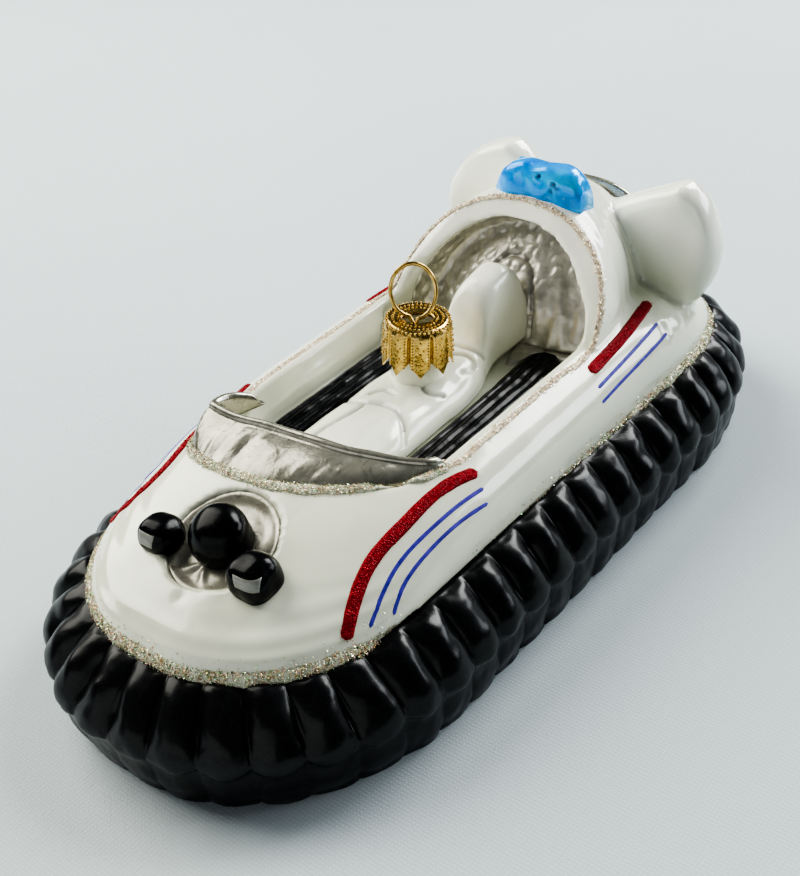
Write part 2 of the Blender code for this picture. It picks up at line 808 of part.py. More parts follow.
# Cutters that keep neighbours clear of the hull, the hood, the seat, the outlet plate and the dish
hull_clear = hull_loft("hull_clear", GAP)
hood_clear = hood_loft("hood_clear", GAP)
seat_clear = seat_loft("seat_clear", GAP)
outlet_clear = outlet_plate("outlet_clear", GAP, *OUTLET_CLEAR_Y)
dish_clear_height = DISH_THICK + 2.0 * GAP
dish_clear = cylinder("dish_clear", DISH_RADIUS + GAP, -DISH_THICK - GAP, dish_clear_height, dish_origin)
dish_clear.rotation_euler = dish_tilt

# Seat with its domed back, and the ribbed floors beside it
finish("seat", settle(seat_loft("seat_raw", 0.0)))
finish("well_port", settle(well_loft("well_port_raw", 1.0)))
finish("well_starboard", settle(well_loft("well_starboard_raw", -1.0)))

# Windscreen
finish("windscreen", settle(screen_loft("windscreen_raw")))

# Silvered panel at the back of the niche
finish("arch_panel", combine(panel_loft("arch_panel_raw"), seat_clear, "DIFFERENCE"))

# Plate across the stern end of the hood
outlet = outlet_plate("outlet_raw", 0.0, OUTLET_FRONT_Y, OUTLET_REAR_Y)
finish("outlet_plate", combine(outlet, hull_clear, "DIFFERENCE"))

# Light bar
finish("light_bar", combine(bar_loft("bar_raw"), hood_clear, "DIFFERENCE"))

# Fins
for side, word in ((1.0, "port"), (-1.0, "starboard")):
    outline = [(side * x, z) for x, z in FIN_OUTLINES[word]]
    origin = (side * FIN_ORIGIN[0], FIN_MIDDLE_Y, FIN_ORIGIN[1])
    fin = upright_plate("fin_raw", outline, FIN_THICK, origin)
    bevel(fin, FIN_ROUND, FIN_ROUND_STEPS, ROUND_ANGLE)
    combine(fin, hood_clear, "DIFFERENCE")
    combine(fin, outlet_clear, "DIFFERENCE")
    finish("fin_" + word, combine(fin, hull_clear, "DIFFERENCE"))

# Dish on the nose with the lamp standing in it
dish_profile = (
    (0.0, -DISH_DEPTH),
    (DISH_RADIUS - DISH_RIM - DISH_SLOPE, -DISH_DEPTH),
    (DISH_RADIUS - DISH_RIM, 0.0),
    (DISH_RADIUS, 0.0),
    (DISH_RADIUS, -DISH_THICK),
    (0.0, -DISH_THICK),
)
dish = turned("dish_raw", dish_profile, TURNED_STEPS, dish_origin)
dish.rotation_euler = dish_tilt
finish("nose_dish", dish)
lamp_profile = []
for k in range(LAMP_STEPS + 1):
    a = math.radians(90.0 * (LAMP_STEPS - k) / LAMP_STEPS)
    height = LAMP_WALL_Z + (LAMP_HEIGHT - LAMP_WALL_Z) * math.sin(a) ** LAMP_RISE_POWER
    lamp_profile.append((LAMP_RADIUS * max(math.cos(a), 0.0) ** LAMP_ROUND_POWER, height))
lamp_profile[0] = (0.0, LAMP_HEIGHT)
lamp_profile.append((LAMP_FOOT_RADIUS, GAP - DISH_DEPTH))
lamp_profile.append((0.0, GAP - DISH_DEPTH))
lamp = turned("lamp_raw", lamp_profile, TURNED_STEPS, dish_origin)
lamp.rotation_euler = dish_tilt
finish("nose_lamp", lamp)

# Headlights and their panes
for word, (x, y, z, size) in HEADLIGHTS.items():
    light = box("light_raw", size, (x, y, z))
    bevel(light, LIGHT_ROUND, LIGHT_ROUND_STEPS, ROUND_ANGLE)
    combine(light, hull_clear, "DIFFERENCE")
    combine(light, dish_clear, "DIFFERENCE")
    front = y - size[1] / 2.0
    slot_size = (PANE_SIZE[0] + 2.0 * GAP, 2.0 * (PANE_SIZE[1] + GAP), PANE_SIZE[2] + 2.0 * GAP)
    slot = box("slot_cutter", slot_size, (x, front, z + PANE_RISE))
    finish("headlight_" + word, combine(light, slot, "DIFFERENCE"))
    finish("pane_" + word, box("pane_raw", PANE_SIZE, (x, front + PANE_SIZE[1] / 2.0, z + PANE_RISE)))

# Neck of the glass
neck = on_cap_axis(cylinder("neck_raw", NECK_RADIUS, NECK_FOOT_Z, NECK_TOP_Z - NECK_FOOT_Z, steps=NECK_STEPS))
combine(neck, seat_clear, "DIFFERENCE")
bore = on_cap_axis(cylinder("bore_cutter", NECK_BORE, NECK_BORE_Z, -NECK_BORE_Z, steps=NECK_STEPS))
finish("neck", combine(neck, bore, "DIFFERENCE"))

# Cap, a thin crown with pointed leaves, and the wire through its slot
cap = on_cap_axis(turned("cap_raw", CAP_SECTION, CAP_STEPS))
combine(cap, on_cap_axis(cap_notches("cap_notches")), "DIFFERENCE")
cap_slot = on_cap_axis(cylinder("cap_slot", 1.0, -CAP_SLOT_REACH, 2.0 * CAP_SLOT_REACH, steps=CAP_SLOT_STEPS))
cap_slot.scale = (CAP_SLOT[0], CAP_SLOT[1], 1.0)
cap_slot.rotation_euler = (0.0, 0.0, math.radians(RING_TURN))
finish("cap", combine(cap, cap_slot, "DIFFERENCE"))
finish("hanger", on_cap_axis(hanger_wire("hanger_raw")))

for tool in list(cutters.objects):
    bpy.data.objects.remove(tool, do_unlink=True)
bpy.data.collections.remove(cutters)
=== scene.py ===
# Looks of the hovercraft ornament, a blown-glass one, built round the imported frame.
# Lengths in the tables are millimetres. X is to port, Y towards the stern, Z up.
import json
import math
import random
import bpy
import bmesh
from mathutils import Matrix, Vector, noise
from mathutils.bvhtree import BVHTree

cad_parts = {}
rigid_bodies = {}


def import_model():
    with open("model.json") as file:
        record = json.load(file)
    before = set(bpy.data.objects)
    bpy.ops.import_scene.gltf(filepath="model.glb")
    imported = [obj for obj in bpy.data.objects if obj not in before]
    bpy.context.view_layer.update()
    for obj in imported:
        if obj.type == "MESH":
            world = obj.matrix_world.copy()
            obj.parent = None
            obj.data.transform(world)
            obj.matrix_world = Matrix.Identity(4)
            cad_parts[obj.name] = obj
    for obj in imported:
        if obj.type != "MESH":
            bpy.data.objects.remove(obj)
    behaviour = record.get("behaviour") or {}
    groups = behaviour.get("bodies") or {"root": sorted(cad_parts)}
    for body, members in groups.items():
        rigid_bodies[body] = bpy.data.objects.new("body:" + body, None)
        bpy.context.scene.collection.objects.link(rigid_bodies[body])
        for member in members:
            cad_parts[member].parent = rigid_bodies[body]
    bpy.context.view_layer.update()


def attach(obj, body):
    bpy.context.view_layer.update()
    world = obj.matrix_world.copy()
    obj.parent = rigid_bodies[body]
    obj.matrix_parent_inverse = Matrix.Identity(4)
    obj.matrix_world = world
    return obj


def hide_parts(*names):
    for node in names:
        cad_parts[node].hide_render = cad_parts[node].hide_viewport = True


for old in list(bpy.data.objects):
    bpy.data.objects.remove(old, do_unlink=True)
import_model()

MM = 0.001
MIDDLE_Y = 3.492
UP = Vector((0.0, 0.0, 1.0))
MIRRORED = Vector((-1.0, 1.0, 1.0))
SIDES = (("port", 1.0), ("starboard", -1.0))
SEEDS = {"skirt": 3, "stripes": 11, "glitter": 7}

# How many times each table of rows is split along its smooth curve
ROW_STEPS = {"skirt": 6, "hull": 5, "hoops": 6, "cockpit": 4, "seat": 22, "well": 14, "screen": 20,
             "screen_foot": 12, "bar": 7}

# Unevenness of each piece, one row a pass: size of the bumps, height, seed
UNEVENNESS = {
    "skirt": ((3.4, 0.34, 4.0), (1.3, 0.07, 9.0)),
    "seat": ((4.0, 0.16, 5.0),),
    "well": ((2.2, 0.1, 6.0),),
    "screen": ((5.0, 0.16, 1.0),),
    "bar": ((2.8, 0.4, 8.0),),
    "lamp": ((2.6, 0.1, 3.0),),
    "headlight_port": ((2.2, 0.2, 8.5),),
    "headlight_starboard": ((2.2, 0.2, -7.9),),
}

# Camera: where it looks, its distance, azimuth, elevation and roll in degrees, and its lens
LOOK_AT = (-1.64, 0.48, 15.0)
CAMERA_DISTANCE = 200.62
CAMERA_TURN = (42.13, 34.62, -6.41)
SENSOR = 36.0
LENS = 62.02

# Studio, in metres and watts: what the lights aim at, and each one's name, place, size, power,
# colour, and whether it shows in mirrored surfaces
LIGHTS_AIM = (0.0, 0.0, 0.02)
LIGHTS = (
    ("key_window", (-0.49, -0.02, 0.38), (0.46, 0.46), 2.7, (1.0, 0.985, 0.90), True),
    ("key_bounce", (-0.49, -0.02, 0.38), (0.52, 0.52), 4.7, (1.0, 0.985, 0.90), False),
    ("rear_window", (0.06, 0.50, 0.42), (0.32, 0.28), 3.6, (0.98, 1.0, 0.98), True),
    ("port_window", (0.50, 0.62, 0.34), (0.50, 0.30), 3.3, (0.91, 0.96, 1.0), True),
    ("front_fill", (0.10, -0.95, 0.24), (1.50, 0.50), 2.3, (0.98, 0.99, 1.0), True),
)
SKY = ((0.12, (0.10, 0.108, 0.116)), (0.8, (0.86, 0.93, 1.0)))
SKY_STRENGTH = 0.14

# Colours of the chips in each kind of glitter
GLITTER_COLOURS = ((0.92, 0.80, 0.42), (0.95, 0.96, 0.86), (0.36, 0.66, 0.32), (0.76, 0.80, 0.58),
                   (0.88, 0.42, 0.16), (0.60, 0.74, 0.62), (0.96, 0.93, 0.68), (0.82, 0.38, 0.38),
                   (0.32, 0.32, 0.20))
PALE_GLITTER_COLOURS = ((0.90, 0.70, 0.48), (0.95, 0.91, 0.80), (0.82, 0.52, 0.34), (0.96, 0.94, 0.88),
                        (0.92, 0.76, 0.46), (0.62, 0.66, 0.52))
RED_GLITTER_COLOURS = ((0.32, 0.003, 0.012), (0.46, 0.010, 0.022), (0.18, 0.002, 0.007), (0.56, 0.04, 0.05))

# Heights between which the pearl enamel grows pale, a painted light that brightens the hood and fins, and
# what a wave texture's scale is for one wave a metre
PAINTED_LIGHT_HEIGHTS = (25.0, 34.0)
ONE_WAVE_A_METRE = math.pi / 10.0

# Plan of the seam between hull and skirt, and of the skirt's widest line
SEAM_Z = 15.4
SEAM_PLAN = {
    "half": 24.0,
    "bow": -52.2,
    "bow_start": -25.0,
    "bow_power": 2.21,
    "stern": 60.0,
    "stern_start": 34.0,
    "stern_power": 2.8,
}
WIDE_PLAN = {
    "half": 30.0,
    "bow": -60.2,
    "bow_start": -27.0,
    "bow_power": 2.15,
    "stern": 67.0,
    "stern_start": 34.0,
    "stern_power": 2.3,
}
PLAN_SAMPLES = 1500

# Fingers of the skirt
FINGER_PITCH = 5.84
FIRST_VALLEY_Y = -37.2
SIDE_FINGERS = 13
LAST_VALLEY_Y = FIRST_VALLEY_Y + SIDE_FINGERS * FINGER_PITCH
BOW_FINGERS = 12
STERN_FINGERS = 15
FINGER_STEPS = 20
FINGER_SHARPNESS = 0.65
FINGER_VARIATION = 0.12

# How far the line under each finger droops, that line's height, and the spread and roundness of the droop
SKIRT_DROOP = 1.3
SKIRT_RIM_Z = 6.9
SKIRT_DROOP_SPREAD = 2.4
SKIRT_DROOP_POWER = 0.8

# Rows of the skirt: share of the way out to the widest line, height, bulge, bulge angle
SKIRT_ROWS = (
    (0.00, 15.10, 0.00, 0.0),
    (0.18, 14.40, 0.70, 55.0),
    (0.45, 12.50, 1.50, 45.0),
    (0.72, 10.30, 1.70, 28.0),
    (0.90, 8.60, 1.30, 10.0),
    (0.97, 7.35, 0.65, 0.0),
    (0.94, 6.40, 0.10, 0.0),
    (0.88, 3.20, 0.45, 0.0),
    (0.74, 0.00, 0.55, 0.0),
)

# Hull: length station, height of the spine above the seam, squareness of the section
HULL_SPINE = (
    (-52.1, 0.25, 2.22),
    (-51.4, 1.7, 2.23),
    (-50.0, 2.9, 2.23),
    (-47.5, 4.1, 2.15),
    (-44.0, 5.3, 2.05),
    (-40.0, 6.5, 2.00),
    (-36.0, 7.6, 2.00),
    (-32.0, 8.8, 2.10),
    (-28.0, 9.9, 2.25),
    (-24.0, 10.7, 2.50),
    (-18.0, 11.2, 2.95),
    (-8.0, 11.2, 3.40),
    (4.0, 11.2, 3.50),
    (16.0, 11.2, 3.50),
    (26.0, 11.2, 3.50),
    (34.0, 11.0, 3.50),
    (40.0, 10.0, 3.23),
    (45.0, 8.2, 3.00),
    (50.0, 6.2, 2.80),
    (54.0, 4.8, 2.64),
    (57.0, 3.6, 2.52),
    (59.0, 2.4, 2.44),
    (59.9, 0.25, 2.40),
)
HULL_ARC_STEPS = 72

# Hood and the niche in it: half width, foot height, crown height, foot Y, crown Y
HOOD_HOOPS = (
    (18.6, 24.0, 39.9, 17.0, 32.3),
    (18.2, 22.0, 40.5, 23.0, 35.3),
    (16.6, 20.0, 40.5, 31.0, 38.6),
    (14.6, 18.0, 39.6, 38.0, 41.8),
    (13.2, 17.0, 38.3, 44.0, 44.8),
    (12.6, 17.0, 37.4, 47.6, 47.6),
)
HOOD_SHAPE = (2.1, 0.6)
HOOD_FOOT_Z = 16.4
NICHE_HOOPS = (
    (17.3, 19.0, 37.6, 12.0, 27.0),
    (16.2, 19.0, 36.8, 23.0, 33.6),
    (15.4, 19.0, 36.2, 28.0, 35.6),
)
NICHE_SHAPE = (2.1, 1.0)
HOOP_STEPS = 60

# Lining of the niche: hoops at its front edge and corner, rows down its back, and rounds of easing
LINING_FRONT = (16.2, 21.2, 37.2, 22.6, 32.3)
LINING_FRONT_SHAPE = (2.06, 1.7)
LINING_CORNER = (14.9, 21.0, 35.7, 25.6, 34.9)
LINING_BACK_ROWS = 32
LINING_ROUNDS = 36
LINING_THICK = 0.5
NICHE_MIDDLE = (0.0, 20.0, 26.0)

# Back of the lining: share of the way in over which it turns, its foot, and how far it leans back
LINING_TURN = 0.42
LINING_FOOT_Y = 24.0
LINING_FOOT_Z = 20.5
LINING_LEAN = 0.3

# Relief of the lining: its pebbles, the groove round its dome, and the folds down its port side
PEBBLE_SIZE = 1.75
PEBBLE_HEIGHT = 0.24
GROOVE_SHAPE = (4.6, 10.2, 1.3)
GROOVE_FOOT_Z = 20.3
GROOVE_FRONT_Y = 22.0
GROOVE_LOWEST_Z = 21.5
GROOVE_RIM = 1.12
GROOVE_DEPTH = 0.5
DRAPE_INNER_X = 3.0
DRAPE_TOP_Z = 31.0
DRAPE_HEIGHT = 0.42

# Silvering on the floor of the niche
NICHE_FLOOR_HALF = 14.8
NICHE_FLOOR_FRONT_Y = 22.8
NICHE_FLOOR_REAR_Y = 27.6
NICHE_FLOOR_Z = 20.45
NICHE_FLOOR_UNDER_Z = 19.9
NICHE_FLOOR_STEPS = (60, 12)

# Two tongues of its front edge: distance from the middle, half width, reach
TONGUES = (5.4, 1.3, 4.6)

# Cockpit: height, half width, front Y, rear Y
COCKPIT_ROWS = (
    (20.0, 14.6, -20.0, 26.5),
    (22.5, 15.2, -20.6, 26.5),
    (25.0, 16.4, -21.4, 26.5),
    (30.0, 17.2, -22.2, 26.5),
)
COCKPIT_FLOOR_Z = 20.0
COCKPIT_CORNER = 0.3
COCKPIT_STEPS = 120

# Glass skin over hull, hood and fins
SKIN_VOXEL = 0.46
SKIN_SMOOTHING = 9
SHARP_ANGLE = 50.0

# Relief of the glass: bumps all over, rings low on the nose, folds on the hood's port flank, and a dimple
GLASS_BUMP_HEIGHT = 0.1
GLASS_BUMP_SIZE = 7.0
RINGS_REAR_Y = -22.0
RINGS_LOW = 0.8
RINGS_HIGH = 6.5
RINGS_FADE = 12.0
RINGS_HEIGHT = 0.07
RINGS_PITCH = 1.45
FOLDS_INNER_X = 7.0
FOLDS_FRONT_Y = 31.0
FOLDS_REAR_Y = 46.0
FOLDS_FOOT_Z = 21.0
FOLDS_HEIGHT = 0.5
DIMPLE_PLACE = (1.2, -45.6)
DIMPLE_DEPTH = 0.35
DIMPLE_RADIUS = 0.9

# Line of the rounded lip round the cockpit, which runs on as the outer edge of the arch
LIP_X = 18.13
LIP_Z = 25.24
LIP_FRONT_Y = -13.5
LIP_ARCH = (18.65, 25.25, 39.9, 17.0, 32.3)
LIP_STEPS = 420
SEAM_STEPS = 640
SCREEN_FOOT_STEPS = 200

# Bands of glitter: half width and height of the glue, its seed, half width and height over which the
# chips lie, chips a millimetre, and their size
GLUE_SIDES = 10
GLITTER_BANDS = {
    "seam": (1.05, 0.5, 1.0, 1.12, 0.55, 44.0, 0.34),
    "lip": (0.45, 0.14, 2.0, 0.62, 0.22, 18.0, 0.29),
    "screen": (0.8, 0.34, 3.0, 0.86, 0.4, 52.0, 0.27),
}

# Stray chips beside the seam: half width and height over which they lie, chips a millimetre
STRAYS = (2.3, 1.1, 5.0)
STRAY_FLAKE = 0.3

# Seat down the middle: Y, half width, top height, squareness of the section
SEAT_ROWS = (
    (-19.0, 7.2, 23.2, 2.6),
    (-15.0, 7.4, 24.2, 2.6),
    (-8.0, 7.3, 24.6, 2.6),
    (0.0, 7.1, 24.5, 2.6),
    (6.0, 7.0, 24.5, 2.6),
    (10.5, 6.2, 24.8, 2.6),
    (13.6, 5.0, 25.2, 2.8),
    (15.2, 4.5, 27.4, 2.9),
    (16.2, 4.3, 29.8, 3.0),
    (17.4, 4.2, 31.4, 3.0),
    (19.2, 4.2, 32.5, 3.0),
    (21.4, 4.25, 33.0, 3.0),
    (23.4, 4.3, 33.2, 3.0),
    (24.8, 4.3, 32.6, 3.0),
    (26.0, 4.1, 30.6, 3.0),
    (27.0, 3.9, 28.0, 3.0),
)
SEAT_STEPS = 96
SEAT_FOOT_Z = COCKPIT_FLOOR_Z + 0.3

# Channels sewn in the seat, as points in X and Y
SEAT_CHANNELS = (
    ((-7.2, -4.2), (-4.6, -5.6), (-2.1, -5.4), (0.0, -4.6), (2.7, -4.7), (5.2, -6.2), (7.0, -8.4)),
    ((-3.6, -14.5), (-2.6, -10.5), (-1.9, -7.6), (-2.0, -5.5)),
    ((1.4, 3.0), (2.6, 1.7), (4.0, 1.4), (5.4, 2.5)),
    ((-3.2, -3.0), (-1.7, -1.6), (0.2, -1.7)),
    ((-6.4, 12.6), (-3.0, 12.5), (1.3, 12.9), (4.3, 13.7), (6.2, 15.0)),
    ((1.3, 10.9), (3.0, 11.7), (4.6, 11.3), (4.9, 9.8), (4.5, 8.4)),
)
CHANNEL_DEPTH = 0.5
CHANNEL_HALF = 0.31
CHANNEL_LOWEST_SHARE = 0.4
CHANNEL_LOWEST_Z = 23.0
# How dark the channels are at their deepest, as painted shade
CHANNEL_SHADE = 0.75
CHANNEL_STEPS = 10

# Ribbed black floor beside the seat: Y, inner X, outer X
WELL_ROWS = (
    (-16.5, 8.1, 13.2),
    (-10.0, 8.1, 13.9),
    (5.0, 7.9, 13.9),
    (16.0, 7.4, 13.9),
    (19.0, 7.2, 13.7),
    (21.0, 7.4, 13.1),
    (22.4, 8.6, 11.6),
)
WELL_FOOT_Z = 20.3
WELL_TOP_Z = 21.3
WELL_RIBS = 4
WELL_RIB_HEIGHT = 0.26
WELL_RIB_FRONT_Y = -17.5
WELL_STEPS = 48
WELL_EDGE_DROP = 0.4

# Windscreen: foot X, foot Y, rim X, rim Y, rim Z
SCREEN_STATIONS = (
    (-16.6, -13.8, -17.0, -14.6, 26.6),
    (-17.6, -18.5, -17.7, -18.2, 28.1),
    (-17.3, -24.0, -16.7, -21.0, 28.5),
    (-13.2, -27.2, -12.0, -21.4, 28.3),
    (-7.2, -28.1, -6.0, -20.6, 28.3),
    (-1.2, -27.9, 0.0, -20.1, 28.3),
    (4.3, -26.5, 5.6, -19.5, 28.2),
    (9.2, -23.9, 10.2, -18.0, 27.8),
    (14.4, -18.9, 14.3, -15.9, 27.2),
    (16.7, -15.0, 16.5, -14.3, 26.9),
    (17.4, -11.9, 17.2, -12.3, 26.4),
)
SCREEN_THICK = 1.3
SCREEN_LOWEST = 24.1
SCREEN_END = 1.6
SCREEN_MIDDLE = (0.0, -8.0)
OVER_NOSE_Z = 40.0
SCREEN_BULB = 2.4
SCREEN_BULB_REACH = 7.0
SCREEN_FOLDS = (0.24, 0.12)
SCREEN_FOLD_REACH = 24.0
SCREEN_FACE_STEPS = 16
SCREEN_RIM_STEPS = 10
SCREEN_BACK_STEPS = 8

# Fins: outlines in X and Z
FIN_OUTLINES = {
    "port": (
        (4.0, 19.0),
        (18.5, 19.0),
        (20.2, 20.2),
        (22.4, 23.0),
        (24.0, 26.0),
        (24.8, 29.4),
        (24.8, 32.0),
        (24.0, 35.0),
        (22.6, 38.0),
        (21.0, 39.8),
        (19.2, 40.8),
        (17.0, 40.1),
        (8.0, 36.0),
        (4.0, 33.5),
    ),
    "starboard": (
        (4.0, 19.0),
        (18.5, 19.0),
        (20.6, 20.6),
        (22.6, 23.0),
        (24.2, 26.0),
        (24.8, 29.4),
        (24.1, 32.6),
        (22.5, 35.2),
        (20.0, 38.0),
        (16.8, 40.2),
        (13.2, 41.5),
        (11.0, 41.5),
        (8.0, 39.0),
        (4.0, 33.5),
    ),
}
FIN_MIDDLE_Y = 46.5
FIN_THICK = 6.2
FIN_ROUND = 2.2
FIN_CUT_X = 13.6
FIN_CUT_Z = 24.4
FIN_CUT_BOX = (20.0, 14.0, 30.0)
FIN_STEPS = 4
FIN_SECTION = ((1.0, -1.0), (0.4, -0.86), (0.08, -0.5), (0.0, 0.0), (0.08, 0.5), (0.4, 0.86), (1.0, 1.0))

# Light bar on the hood: X, height above its foot, half depth
BAR_ROWS = (
    (-6.7, 0.8, 1.5),
    (-6.0, 2.4, 2.0),
    (-5.1, 3.9, 2.5),
    (-3.8, 5.0, 2.8),
    (-2.0, 5.2, 2.9),
    (0.4, 4.95, 2.8),
    (2.8, 5.15, 2.9),
    (5.6, 4.8, 2.8),
    (7.4, 3.6, 2.4),
    (8.4, 2.0, 1.7),
)
BAR_Y = 35.8
BAR_FOOT_Z = 39.4
BAR_ROOT = 1.6
BAR_STEPS = 40
BAR_POWER = 2.0 / 0.6
BAR_SPOT_DEPTH = 0.3
BAR_SPOTS = ((1.6, 43.3, 0.4), (4.3, 42.6, 0.45), (4.0, 41.6, 0.35), (5.0, 42.1, 0.3))

# Nose lights
DISH_PLACE = (0.0, -36.4, 21.9)
DISH_TILT = 20.0
DISH_STEPS = 144
DISH_RIM = [(6.2, -0.45), (6.6, -0.3), (6.95, -0.1), (7.3, 0.02), (7.6, 0.0), (7.85, -0.14), (8.0, -0.5),
            (7.9, -1.0), (0.0, -1.0)]
DISH_RIDGES = ((-112.0, -0.10), (-86.0, 0.10))
DISH_RIDGE_RADIUS = 5.0
DISH_RIDGE_REACH = 1.9
DISH_RIDGE_HEIGHT = 0.42
POCKET_PROFILE = ((0.0, 8.0), (7.7, 8.0), (7.7, -1.3), (0.0, -1.3))
LAMP_RADIUS = 4.0
LAMP_HEIGHT = 5.4
LAMP_WAIST_Z = 1.2
LAMP_FOOT = [(3.98, 0.6), (3.9, 0.1), (3.85, -0.3), (0.0, -0.3)]
LAMP_SWELL = (1.12, 1.04)
LAMP_LEAN = (0.2, 0.1)
LAMP_LEAN_Z = 1.6
TURNED_STEPS = 96
HEADLIGHT_CUTS = 21

# Waist of the headlights, as shares of their half sizes: height, spread, depth across and along
HEADLIGHT_WAIST = (-0.45, 0.22, 0.07, 0.05)
HEADLIGHTS = {
    "port": (8.5, -39.6, 22.1, (6.3, 5.8, 6.0)),
    "starboard": (-7.9, -39.6, 21.7, (5.5, 5.1, 5.0)),
}
HEADLIGHT_POWER = 2.6
HEADLIGHT_SWELL = 1.07

# Panes on the headlights: turn to port, half width, middle above the light's, half height
PANES = {
    "port": (28.0, 1.75, 1.5, 0.74),
    "starboard": (-4.0, 1.3, 1.0, 0.85),
}
PANE_ROWS = 8
PANE_COLUMNS = 12

# Silvered plate across the stern end of the hood, and its section: share of the outline, Y
OUTLET_HALF = 13.6
OUTLET_CROWN = 37.3
OUTLET_POWER = 2.7
OUTLET_FOOT_Z = 21.9
OUTLET_SECTION = ((0.98, 47.9), (1.0, 48.1), (1.0, 48.6), (0.985, 48.85), (0.95, 48.9), (0.91, 48.65),
                  (0.86, 48.55), (0.6, 48.7), (0.3, 48.78), (0.02, 48.8))

# Neck, cap and hanger, their heights from the middle of the cap's top along its axis
CAP_TOP = (0.0, 5.192, 33.4)
CAP_AXIS_TILT = (-3.27, 4.1)
NECK_PROFILE = ((0.0, -8.6), (2.4, -8.5), (2.7, -8.0), (2.75, -1.7), (2.85, -1.25), (3.1, -1.0),
                (3.45, -1.1), (3.7, -1.5), (3.7, -7.0), (3.72, -8.2), (3.8, -9.2), (3.9, -11.0),
                (0.0, -11.0))
CAP_LEAVES = 9
CAP_FIRST_NOTCH = -27.9
CAP_LEAF_Z = -7.2
CAP_NOTCH_HEIGHT = 2.2
CAP_RADII = ((0.0, 4.62), (-1.0, 4.8), (-3.0, 4.92), (-5.0, 5.02), (-7.2, 5.2))
CAP_WALL = 0.34
CAP_COLUMNS = CAP_LEAVES * 24
CAP_SLOT = (2.2, 1.6)
CAP_GROOVE = 0.55
CAP_TOP_EDGE = 4.3
CAP_UNDERSIDE_EDGE = 4.0
CAP_WALL_ROWS = 28
CAP_INSIDE_ROWS = 11
CAP_BEAD_RINGS = ((4.5, -0.2, 44, 0.2), (3.55, -0.02, 36, 0.15), (2.75, -0.03, 30, 0.13))
CAP_LEAF_BEADS = [(0.0, -1.5, 0.2), (-0.12, -2.3, 0.17), (0.12, -2.7, 0.17), (0.0, -3.3, 0.22),
                  (-0.1, -4.1, 0.16), (0.1, -4.3, 0.16), (0.0, -5.0, 0.19)]
RING_TURN = 41.0
RING_LEAN = 20.0
RING_HALF = (3.15, 3.8)
RING_MIDDLE = 3.95
RING_OPENING = 10.0
RING_STEPS = 96
RING_SHIFT = (-0.65, -0.6)
STRAND_OFFSET = 0.42
LEG_END_ACROSS = 1.2
LEG_END_Z = -4.9
WIRE_RADIUS = 0.3

# Painted stripes on the port side, mirrored on the other, as points on the hull
RED_STRIPES = (
    ((20.4, -10.0, 24.0), (19.3, -13.2, 24.3), (18.8, -17.7, 24.3), (18.7, -23.9, 23.2), (18.2, -27.3, 22.6),
     (18.4, -30.6, 21.5), (19.1, -33.0, 20.4), (20.0, -35.8, 18.9), (21.0, -38.0, 17.1)),
    ((17.8, 37.6, 24.4), (19.1, 31.0, 24.5), (19.8, 26.2, 24.5), (20.4, 17.2, 24.2)),
)
BLUE_LINES = (
    ((22.0, -11.0, 22.6), (21.5, -15.2, 22.8), (21.1, -21.1, 22.3), (20.7, -26.7, 21.3), (21.2, -30.8, 19.7),
     (22.1, -34.9, 17.2)),
    ((23.0, -11.7, 21.1), (22.5, -17.9, 21.5), (22.3, -23.8, 20.7), (22.2, -27.9, 19.7), (22.6, -30.4, 18.5),
     (23.1, -31.6, 17.2)),
    ((21.1, 34.7, 23.4), (22.0, 25.0, 23.2), (22.3, 16.2, 22.7)),
    ((22.6, 34.9, 22.0), (23.1, 25.0, 21.6), (23.4, 15.5, 21.0)),
)
RED_WIDTH = 1.75
RED_HEIGHT = 0.2
RED_FLAKE = 0.24
RED_FLAKES_PER_MM = 26.0
BLUE_WIDTH = 0.52
BLUE_HEIGHT = 0.06
STROKE_STEPS = 14
STROKE_PITCH = 0.3
RELAX_ROUNDS = 120


def at(x, y, z):
    # Place in metres in the frame of a point of the layout
    return Vector((x, y - MIDDLE_Y, z)) * MM


def signed_power(value, power):
    return math.copysign(abs(value) ** power, value)


def arch(steps, power):
    # Arch from side to side with rounded shoulders, as shares of its half width and its height
    angles = [math.pi * k / steps for k in range(steps + 1)]
    return [(signed_power(math.cos(a), 2.0 / power), abs(math.sin(a)) ** (2.0 / power)) for a in angles]


def spline_rows(rows, steps):
    # Rows of numbers read more densely along a smooth curve through them that never overshoots
    count = len(rows)
    slopes = []
    for k in range(count):
        before = [b - a for a, b in zip(rows[max(k - 1, 0)], rows[k])]
        after = [b - a for a, b in zip(rows[k], rows[min(k + 1, count - 1)])]
        if k == 0:
            before = after
        if k == count - 1:
            after = before
        slopes.append([2.0 * b * a / (b + a) if b * a > 0.0 else 0.0 for b, a in zip(before, after)])
    dense = []
    for k in range(count - 1):
        for step in range(steps):
            t = step / steps
            keep = 2.0 * t ** 3 - 3.0 * t ** 2 + 1.0
            out = t ** 3 - 2.0 * t ** 2 + t
            arrive = t ** 3 - t ** 2
            dense.append([keep * p + (1.0 - keep) * q + out * m + arrive * n
                          for p, q, m, n in zip(rows[k], rows[k + 1], slopes[k], slopes[k + 1])])
    dense.append(list(rows[-1]))
    return dense


def curve_points(points, steps):
    # Smooth curve through a few points
    made = []
    last = len(points) - 1
    for k in range(last):
        p0 = Vector(points[max(k - 1, 0)])
        p1 = Vector(points[k])
        p2 = Vector(points[k + 1])
        p3 = Vector(points[min(k + 2, last)])
        for step in range(steps):
            t = step / steps
            made.append(0.5 * (2.0 * p1 + (p2 - p0) * t + (2.0 * p0 - 5.0 * p1 + 4.0 * p2 - p3) * t ** 2
                               + (3.0 * p1 - p0 - 3.0 * p2 + p3) * t ** 3))
    made.append(Vector(points[-1]))
    return made


